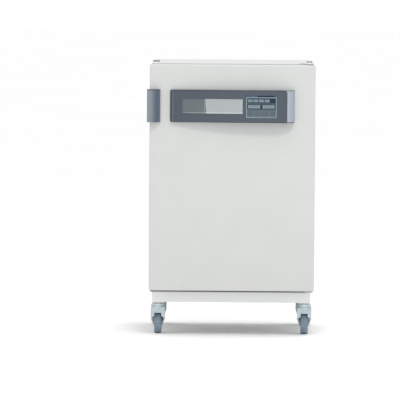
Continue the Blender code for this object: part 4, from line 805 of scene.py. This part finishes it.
def display_window():
    """The bowed pane, its edges eased, with a fine step where its dark part ends."""
    low, high = local("display_window")
    split = low[0] + WINDOW_SPLIT + np.array([-0.0006, 0.0006])
    x, z, fall = front_grid(low, high, PANE_EDGE, 50, 12, split)
    y = local("console_housing")[1][1] - console_stand(x) + 0.0010 + fall
    y += 0.0003 * sunk(x, z, (split[0], low[2] - 1), (split[1], high[2] + 1))
    stand_in("display_window", Form().panel(x, z, y, thickness=0.0022), "display_glass")


def keypad():
    """The keypad's plate with a sunk well round each key, and the keys with their dished tops."""
    low, high = local("keypad_panel")
    room = 0.0004
    wells = [(flat(key_low) - room, flat(key_high) + room) for key_low, key_high in map(local, KEYS)]
    x, z, fall = front_grid(low, high, PANE_EDGE, 24, 14, [end[0] for well in wells for end in well],
                            [end[1] for end in wells[0]])
    y = low[1] + fall + KEY_WELL * sum(sunk(x, z, *well) for well in wells)
    stand_in("keypad_panel", Form().panel(x, z, y, thickness=0.0036), "keypad_film")
    for key in KEYS:
        low, high = local(key)
        x, z, fall = front_grid(low, high, KEY_EDGE, 12, 10)
        middle, size = (low + high) / 2, high - low
        across, upward = (x - middle[0]) / size[0], (z - middle[2]) / size[2]
        y = low[1] + 0.0003 * np.clip(1 - 4 * (across ** 2 + upward ** 2), 0.0, 1.0) + fall
        stand_in(key, Form().panel(x, z, y, back=high[1]), "key_caps")


class INCUBATOR_OT_console(bpy.types.Operator):
    """Make the console on the door: housing, end cap, window, keypad and keys"""

    bl_idname = "incubator.console"
    bl_label = "Console"

    def execute(self, context):
        console_housing()
        console_cap()
        display_window()
        keypad()
        return {"FINISHED"}


class INCUBATOR_OT_handle(bpy.types.Operator):
    """Round the lever handle and its mount"""

    bl_idname = "incubator.handle"
    bl_label = "Handle"

    def execute(self, context):
        softened("door_handle", context.scene.incubator_sizes.edge, "slate_handle")
        softened("handle_mount", 0.0003, "bright_zinc")
        return {"FINISHED"}


def seal(node, radius, side, width):
    """A silicone frame round a solid's outline: its profile is this outer side and the same one mirrored."""
    low, high = local(node)
    middle = (low + high) / 2
    profile = side + [(width - inset, depth) for inset, depth in reversed(side)]
    form = Form().plate(flat(high - low), radius, profile, (middle[0], 0.0, middle[2]), ring=True)
    stand_in(node, form, "seal_silicone", 40)


class INCUBATOR_OT_door(bpy.types.Operator):
    """Round the door's skin and inner panel, and make its gasket"""

    bl_idname = "incubator.door"
    bl_label = "Door"

    def execute(self, context):
        softened("door_skin", 0.0010, "door_paint")
        softened("door_liner", 0.0010, "frame_paint", "Door_inner_panel")
        low, high = local("door_gasket")
        front, back = low[1], high[1]
        rib = [(0.0, front), (0.0, front + 0.0020), (0.0008, front + 0.0030), (0.0030, front + 0.0042),
               (0.0036, front + 0.0060), (0.0024, back - 0.0030), (0.0016, back - 0.0016),
               (0.0019, back - 0.0005), (0.0030, back)]
        seal("door_gasket", 0.024, rib, 0.012)
        for end in ("upper", "lower"):
            softened(f"{end}_hinge_bush", 0.0003, "dark_plastic")
        return {"FINISHED"}


def screw_heads(places, axis, way, radius, height):
    """Domed heads with a hexagon socket at these places, standing out along an axis."""
    dome = quarter(4) * 0.72
    rise = height * (0.25 + 0.75 * np.sin(dome) / math.sin(1.13))
    socket, floor = radius * 0.40, height * 0.35
    head = [(radius * 0.98, -0.0006), (radius, height * 0.2),
            *np.stack([radius * np.cos(dome), rise], axis=1).tolist(), (socket, height)]
    hole = [(socket, height), (radius * 0.38, floor), (1e-5, floor)]
    form = Form()
    for place in places:
        form.turned(head, place, axis, 32, way)
        form.turned(hole, place, axis, 6, way)
    return form


WASHER = [(0.0082, 0.0), (0.0082, 0.0022), (0.0078, 0.0026), (0.0040, 0.0026)]
NUT = [(0.0062, 0.0024), (0.0066, 0.0028), (0.0066, 0.0056), (0.0060, 0.0062), (0.0036, 0.0062)]
STUB = [(0.0034, 0.0060), (0.0034, 0.0076), (0.0030, 0.0080)]
BEARING_LIP = [(0.0270, -0.0002), (0.0270, -0.0140), (0.0276, -0.0146), (0.0276, -0.0156),
               (0.0266, -0.0162)]
KINGPIN_RING = [(0.0150, -0.0004), (0.0150, 0.0014), (0.0146, 0.0018), (0.0126, 0.0018), (0.0122, 0.0014),
                (0.0122, -0.0004)]
CASTER_AXIS_Y = {"front": 0.045, "rear": 0.635}
FORK_FACE = 0.0170                          # a fork's outer face, off the wheel's middle
# Dark blocks inside each fork's legs, beside the tyre: painted shade where the fork's inside lies in shade.
SHADE_BLOCK_SIDES, SHADE_BLOCK_LEVELS = (0.0158, 0.0216), (0.0615, 0.1000)
SHADE_BLOCK_ENDS = {"front": (-0.0165, 0.0400), "rear": (-0.0400, 0.0165)}


def both_sides(rows):
    """A profile and its mirror image, as one closed ring."""
    return rows + [(radius, -height) for radius, height in reversed(rows)]


def hub(node, middle, reach, half):
    """A caster's hub: rim, dished web with six ribs, and the boss on the axle."""
    rim = reach - 0.0005
    rows = [(rim, half - 0.0022), (rim - 0.0006, half - 0.0016), (rim - 0.0026, half - 0.0016),
            (rim - 0.0034, half - 0.0024), (rim - 0.0046, 0.0055), (rim - 0.0062, 0.0045),
            (0.0148, 0.0045), (0.0132, 0.0056), (0.0122, half - 0.0006), (0.0116, half), (0.0062, half),
            (0.0056, half - 0.0008)]
    form = Form().turned(both_sides(rows), middle, "x", 72, ring=True)
    angles = turn(6)
    arms = np.stack([np.zeros(6), np.cos(angles), np.sin(angles)], axis=1)
    for side in (-0.0052, 0.0052):
        start = middle + np.array([side, 0.0, 0.0])
        form.rods(start + arms * 0.0125, start + arms * (rim - 0.0040), 0.0022, 12)
    stand_in(node, form, "hub_plastic")


def tyre(node, middle, radius, bore, half):
    """A caster's tyre: slightly crowned tread, round shoulders, and a recessed ring in each sidewall."""
    shoulder, bend = 0.0050, quarter(6)
    round_part = np.stack([radius - 0.0006 - shoulder * (1 - np.cos(bend)),
                           half - shoulder * (1 - np.sin(bend))], axis=1).tolist()
    rows = [(radius - 0.0001, 0.0040), *round_part, (radius - 0.0072, half),
            (radius - 0.0076, half - 0.0005), (radius - 0.0100, half - 0.0005), (radius - 0.0104, half),
            (bore + 0.0006, half), (bore, half - 0.0006)]
    form = Form().turned([(radius, 0.0)] + both_sides(rows), middle, "x", 96, ring=True)
    stand_in(node, form, "tyre_rubber")


def caster(label):
    """One caster: its fork with nuts and bearing rings, dark blocks inside the fork as painted shade, and
    its wheel.
    """
    softened(f"{label}_fork", 0.0012, "fork_zinc")
    fork_low, fork_high = local(f"{label}_fork")
    low, high = local(f"{label}_tyre")
    hub_size = np.subtract(*local(f"{label}_hub")[::-1])
    middle, size = (low + high) / 2, high - low
    hub(f"{label}_hub", middle, hub_size[1] / 2, hub_size[0] / 2)
    tyre(f"{label}_tyre", middle, size[2] / 2, hub_size[1] / 2 + 0.0006, size[0] / 2)
    row = label.split("_")[0]
    axis = np.array([(fork_low + fork_high)[0] / 2, CASTER_AXIS_Y[row], fork_high[2]])
    ahead, behind = SHADE_BLOCK_ENDS[row]
    bottom, top = SHADE_BLOCK_LEVELS
    fittings, shade_blocks = Form(), Form()
    for side in (-1.0, 1.0):
        face = middle + np.array([side * FORK_FACE, 0.0, 0.0])
        for rows, steps in ((WASHER, 48), (NUT, 6), (STUB, 32)):
            fittings.turned(rows, face, "x", steps, side)
        # Painted shade: a dark block inside each leg of the fork.
        near, far = sorted(middle[0] + side * reach for reach in SHADE_BLOCK_SIDES)
        shade_blocks.pad((near, axis[1] + ahead, bottom), (far, axis[1] + behind, top), 0.0008)
    fittings.turned(BEARING_LIP, axis, "z", 72)
    fittings.turned(KINGPIN_RING, axis, "z", 72)
    piece(f"{label.capitalize()}_caster_fittings", fittings, "bright_zinc", f"{label}_caster")
    piece(f"{label.capitalize()}_fork_shade_blocks", shade_blocks, "dark_plastic", f"{label}_caster")


class INCUBATOR_OT_casters(bpy.types.Operator):
    """Make the four casters"""

    bl_idname = "incubator.casters"
    bl_label = "Casters"

    def execute(self, context):
        for label in CASTERS:
            caster(label)
        return {"FINISHED"}


PAD_SIDES = ((-0.3250, -0.2975), (0.3022, 0.3118), (0.3150, 0.3246))
PAD_FRONT, PAD_BACK, PAD_RISE, PAD_EDGE = 0.300, 0.325, 0.0032, 0.0008
SCREW_RISE = 0.0018


class INCUBATOR_OT_cabinet(bpy.types.Operator):
    """Round the cabinet's sheets, frame and hinges, and add its screws and the pads on its top"""

    bl_idname = "incubator.cabinet"
    bl_label = "Cabinet"

    def execute(self, context):
        for node in ("outer_casing", "rear_cover", "floor_pan"):
            softened(node, 0.0004, "door_paint")
        softened("front_frame", 0.0008, "frame_paint")
        softened("base_frame", 0.0008, "base_paint")
        for node in ("upper_hinge", "lower_hinge"):
            softened(node, 0.0006, "door_paint")
        softened("latch_keeper", 0.0004, "bright_zinc")
        head = context.scene.incubator_sizes.screw / 2
        low, high = local("rear_cover")
        border, spacing = 0.012, 0.030
        ends = [(x, z) for x in (low[0] + border, high[0] - border)
                for z in np.linspace(low[2] + spacing, high[2] - spacing, 6)]
        ends += [(x, z) for x in np.linspace(low[0] + border, high[0] - border, 5)[1:-1]
                 for z in (low[2] + border, high[2] - border)]
        heads = screw_heads([(x, high[1], z) for x, z in ends], "y", 1.0, head, SCREW_RISE)
        piece("Rear_cover_screws", heads, "bright_zinc", "cabinet")
        top = local("outer_casing")[1][2]
        pads = Form()
        for left, right in PAD_SIDES:
            pads.pad((left, PAD_FRONT, top - 0.001), (right, PAD_BACK, top + PAD_RISE), PAD_EDGE)
        piece("Top_pads", pads, "pad_rubber", "cabinet")
        low, high = local("front_frame")
        spots = [(x, 0.0, z) for x in (low[0] + 0.022, high[0] - 0.022)
                 for z in np.linspace(low[2] + 0.060, high[2] - 0.060, 5)]
        heads = screw_heads(spots, "y", -1.0, head, SCREW_RISE)
        piece("Front_frame_screws", heads, "bright_zinc", "cabinet")
        right, _, top = local("upper_hinge")[1]
        spots = [(right - 0.010, 0.052, top), (right - 0.046, 0.052, top), (right - 0.046, 0.018, top)]
        piece("Upper_hinge_screws", screw_heads(spots, "z", 1.0, 0.0035, 0.0), "bright_zinc", "cabinet")
        return {"FINISHED"}


def chamber_liner():
    """The chamber's rolled tub: one wall with wide round corners, inside and outside."""
    low, high = local("chamber_liner")
    wall, bend, ease = 0.0015, 0.042, 0.0004
    lip = [(0.0, low[1] + ease), (ease, low[1]), (wall - ease, low[1]), (wall, low[1] + ease)]
    outer = bend_rows(0.0, high[1], bend, 12, -1.0)
    inner = bend_rows(wall, high[1] - wall, bend, 12, -1.0)
    middle = (low + high) / 2
    form = Form().plate(flat(high - low), bend + wall, outer + lip + inner[::-1],
                        (middle[0], 0.0, middle[2]), steps=14)
    stand_in("chamber_liner", form, "chamber_steel", 40)


def wire_shelf(label):
    """A wire shelf: flat frame bars with round edges, a front strip, round rods and two cross bars."""
    low, high = local(label)
    top, bottom = low[2] + 0.006, low[2]
    front, back = low[1] + 0.001, high[1]
    bar, ease, gaps = 0.008, 0.0012, 24
    rod, cross_bar, sides = 0.0016, 0.0014, 14
    left, right = low[0] + bar, high[0] - bar
    form = Form()
    for start, end in (((low[0], front, bottom), (left, back, top)),
                       ((right, front, bottom), (high[0], back, top)),
                       ((low[0] + bar / 2, back - bar, bottom), (high[0] - bar / 2, back, top)),
                       ((low[0] + bar / 2, front, bottom), (high[0] - bar / 2, front + bar, top)),
                       ((left, low[1], bottom + 0.0005), (right, low[1] + 0.003, high[2]))):
        form.pad(start, end, ease)
    across = left + (right - left) * np.arange(1, gaps) / gaps
    starts = np.stack([across, np.full(gaps - 1, front + 0.004), np.full(gaps - 1, top - 0.002)], axis=1)
    ends = starts.copy()
    ends[:, 1] = back - 0.004
    form.rods(starts, ends, rod, sides)
    for share in (1 / 3, 2 / 3):
        middle, level = front + (back - front) * share, bottom + cross_bar
        form.rods((low[0] + 0.003, middle, level), (high[0] - 0.003, middle, level), cross_bar, sides)
    stand_in(label, form, "wire_steel")


def water_tray():
    """The pressed tray: rolled rim, tapered wall and a floor on a wide radius."""
    low, high = local("water_tray")
    rim, wall, bend, corner = 0.004, 0.0012, 0.010, 0.034
    top, bottom = high[2], low[2] + 0.0003
    edge = [(rim, top - wall), (0.0004, top - wall), (0.0, top - 0.0016), (0.0003, top - 0.0006),
            (0.0009, top), (rim, top), (rim + wall, top)]
    outer, inner = bend_rows(rim, bottom, bend, 6), bend_rows(rim + wall, bottom + wall, bend, 6)
    middle = (low + high) / 2
    form = Form().plate((high - low)[:2], corner, outer + edge + inner[::-1], (*middle[:2], 0.0), "z")
    stand_in("water_tray", form, "tray_steel", 40)


def glass_door():
    """The glass door: pane with ground edges, knob, clips with their screws, and brackets."""
    low, high = local("glass_pane")
    middle, ease = (low + high) / 2, 0.0008
    rows = [(ease, low[1]), (0.0, low[1] + ease), (0.0, high[1] - ease), (ease, high[1])]
    form = Form().plate(flat(high - low), 0.030, rows, (middle[0], 0.0, middle[2]))
    stand_in("glass_pane", form, "door_glass", 40)
    low, high = local("glass_knob")
    middle, radius = (low + high) / 2, (high - low)[0] / 2
    shares = ((0.9, 0.0), (0.9, 0.0012), (0.74, 0.0030), (0.62, 0.0052), (0.66, 0.0072), (0.88, 0.0092),
              (0.985, 0.0104), (1.0, 0.0118), (0.985, 0.0136), (0.93, 0.0150), (0.80, 0.0158),
              (0.55, 0.0154))
    rows = [(0.0001, 0.0), *((radius * share, depth) for share, depth in shares), (0.0001, 0.0151)]
    form = Form().turned(rows, (middle[0], high[1], middle[2]), "y", 72, -1.0)
    stand_in("glass_knob", form, "dark_plastic")
    for end in ("upper", "lower"):
        softened(f"{end}_glass_clip", 0.0004, "bright_zinc")
        softened(f"{end}_glass_hinge", 0.0004, "bright_zinc")
        low, high = local(f"{end}_glass_clip")
        spots = [(low[0] + 0.008, low[1], low[2] + share * (high[2] - low[2])) for share in (0.25, 0.75)]
        heads = screw_heads(spots, "y", -1.0, 0.0030, 0.0014)
        piece(f"{end.capitalize()}_clip_screws", heads, "bright_zinc", "glass_door")


class INCUBATOR_OT_chamber(bpy.types.Operator):
    """Make the chamber: liner, seal, racks, shelves, tray, glass door, fan and probe"""

    bl_idname = "incubator.chamber"
    bl_label = "Chamber"

    def execute(self, context):
        chamber_liner()
        low, high = local("chamber_seal")
        seal("chamber_seal", 0.0518, [(0.0, high[1])] + bend_rows(0.0, low[1], 0.0028, 4)[::-1], 0.008)
        for side in ("left", "right"):
            softened(f"{side}_shelf_rack", 0.0004, "rack_steel")
        for label in ("lower_shelf", "middle_shelf", "upper_shelf"):
            wire_shelf(label)
        water_tray()
        glass_door()
        softened("fan_shroud", 0.0006, "chamber_steel")
        softened("fan_wheel", 0.0003, "silver_plastic")
        softened("sensor_probe", 0.0004, "chamber_steel")
        return {"FINISHED"}


class INCUBATOR_OT_rear(bpy.types.Operator):
    """Round the rear's fittings: port sleeve, stopper, gas nozzle and mains inlet"""

    bl_idname = "incubator.rear"
    bl_label = "Rear fittings"

    def execute(self, context):
        softened("port_sleeve", 0.0008, "chamber_steel")
        softened("port_stopper", 0.0016, "stopper_silicone")
        softened("gas_nozzle", 0.0003, "bright_zinc")
        softened("power_inlet", 0.0006, "dark_plastic")
        low, high = local("power_inlet")
        middle = (low + high) / 2
        spots = [(middle[0] + side, high[1] - 0.0004, middle[2]) for side in (-0.0195, 0.0195)]
        piece("Inlet_screws", screw_heads(spots, "y", 1.0, 0.0028, 0.0012), "bright_zinc", "cabinet")
        return {"FINISHED"}


FLOOR_REACH = 60.0
FLOOR_PAINT = (0.97, 0.97, 0.97)
AIR_STRENGTH = 1.02
BODY_MIDDLE = (MIDDLE_X, 0.0, 0.6)
LAMPS = (                                   # name, place, aim, width and depth, watts
    ("key_light", (0.35, -3.6, 4.6), BODY_MIDDLE, (0.7, 0.7), 62.0),
    ("low_light", (0.3, -5.0, 0.35), (MIDDLE_X, -0.3, 0.12), (4.0, 0.5), 16.0),
    ("top_light", (0.6, 0.6, 4.4), BODY_MIDDLE, (2.4, 2.4), 30.0),
)
SENSOR_WIDTH = 36.0                         # in millimetres, as the lens
LENS = 537.6
ROLL = math.radians(0.40)
SIDE_STEP = 0.128                           # the camera's aim, left of the door's middle
AIM = Vector((MIDDLE_X - SIDE_STEP, DOOR_FRONT, 0.5471))
CAMERA_PLACE = AIM + Vector((SIDE_STEP, -24.0, 1.183))


def facing(place, aim):
    """The turn that points a lamp or a camera from its place at its aim."""
    return (Vector(aim) - Vector(place)).to_track_quat("-Z", "Y")


def lamp(name, place, aim, size, power):
    """A soft area light turned towards a point."""
    data = bpy.data.lights.new(name, "AREA")
    data.shape = "RECTANGLE"
    data.size, data.size_y = size
    data.energy = power
    made = placed(name, data)
    made.location = place
    made.rotation_euler = facing(place, aim).to_euler()


class INCUBATOR_OT_stage(bpy.types.Operator):
    """Set the floor, the lights and the camera"""

    bl_idname = "incubator.stage"
    bl_label = "Stage"

    def execute(self, context):
        scene = context.scene
        ground = Finish("studio_floor", FLOOR_PAINT, roughness=0.7).speckle(0.006, 0.8)
        mesh = bpy.data.meshes.new("floor")
        spots = [(x * FLOOR_REACH, y * FLOOR_REACH, 0) for x, y in SIGNS.tolist()]
        mesh.from_pydata(spots, [], [(0, 1, 2, 3)])
        mesh.materials.append(ground.material)
        placed("floor", mesh)
        world = bpy.data.worlds.new("studio_air")
        world.use_nodes = True
        air = world.node_tree.nodes["Background"]
        air.inputs["Color"].default_value = (1.0, 1.0, 1.0, 1.0)
        air.inputs["Strength"].default_value = AIR_STRENGTH
        scene.world = world
        scene.view_settings.view_transform = "Standard"
        for row in LAMPS:
            lamp(*row)
        data = bpy.data.cameras.new("view")
        data.sensor_width = SENSOR_WIDTH
        data.lens = LENS
        data.clip_end = 200.0
        camera = placed("view", data)
        camera.location = CAMERA_PLACE
        turned = facing(CAMERA_PLACE, AIM).to_matrix() @ Matrix.Rotation(ROLL, 3, "Z")
        camera.rotation_euler = turned.to_euler()
        scene.camera = camera
        return {"FINISHED"}


OPERATORS = (INCUBATOR_OT_finishes, INCUBATOR_OT_console, INCUBATOR_OT_handle, INCUBATOR_OT_door,
             INCUBATOR_OT_cabinet, INCUBATOR_OT_casters, INCUBATOR_OT_chamber, INCUBATOR_OT_rear,
             INCUBATOR_OT_stage)


class INCUBATOR_PT_panel(bpy.types.Panel):
    """The incubator's steps, in their order"""

    bl_idname = "INCUBATOR_PT_panel"
    bl_label = "Incubator"
    bl_space_type = "VIEW_3D"
    bl_region_type = "UI"
    bl_category = "Incubator"

    def draw(self, context):
        for group in (context.scene.incubator_sizes, context.scene.incubator_colours):
            for setting in group.__annotations__:
                self.layout.prop(group, setting)
        for operator in OPERATORS:
            self.layout.operator(operator.bl_idname)


CLASSES = (IncubatorSizes, IncubatorColours, *OPERATORS, INCUBATOR_PT_panel)


def register():
    """Add the classes and the scene's settings."""
    for item in CLASSES:
        bpy.utils.register_class(item)
    bpy.types.Scene.incubator_sizes = bpy.props.PointerProperty(type=IncubatorSizes)
    bpy.types.Scene.incubator_colours = bpy.props.PointerProperty(type=IncubatorColours)


def unregister():
    """Take the settings and classes away again."""
    del bpy.types.Scene.incubator_colours
    del bpy.types.Scene.incubator_sizes
    for item in reversed(CLASSES):
        bpy.utils.unregister_class(item)


def main():
    """Run every step in its order."""
    register()
    for operator in OPERATORS:
        getattr(bpy.ops.incubator, operator.bl_idname.split(".")[1])()


if __name__ == "__main__":
    main()
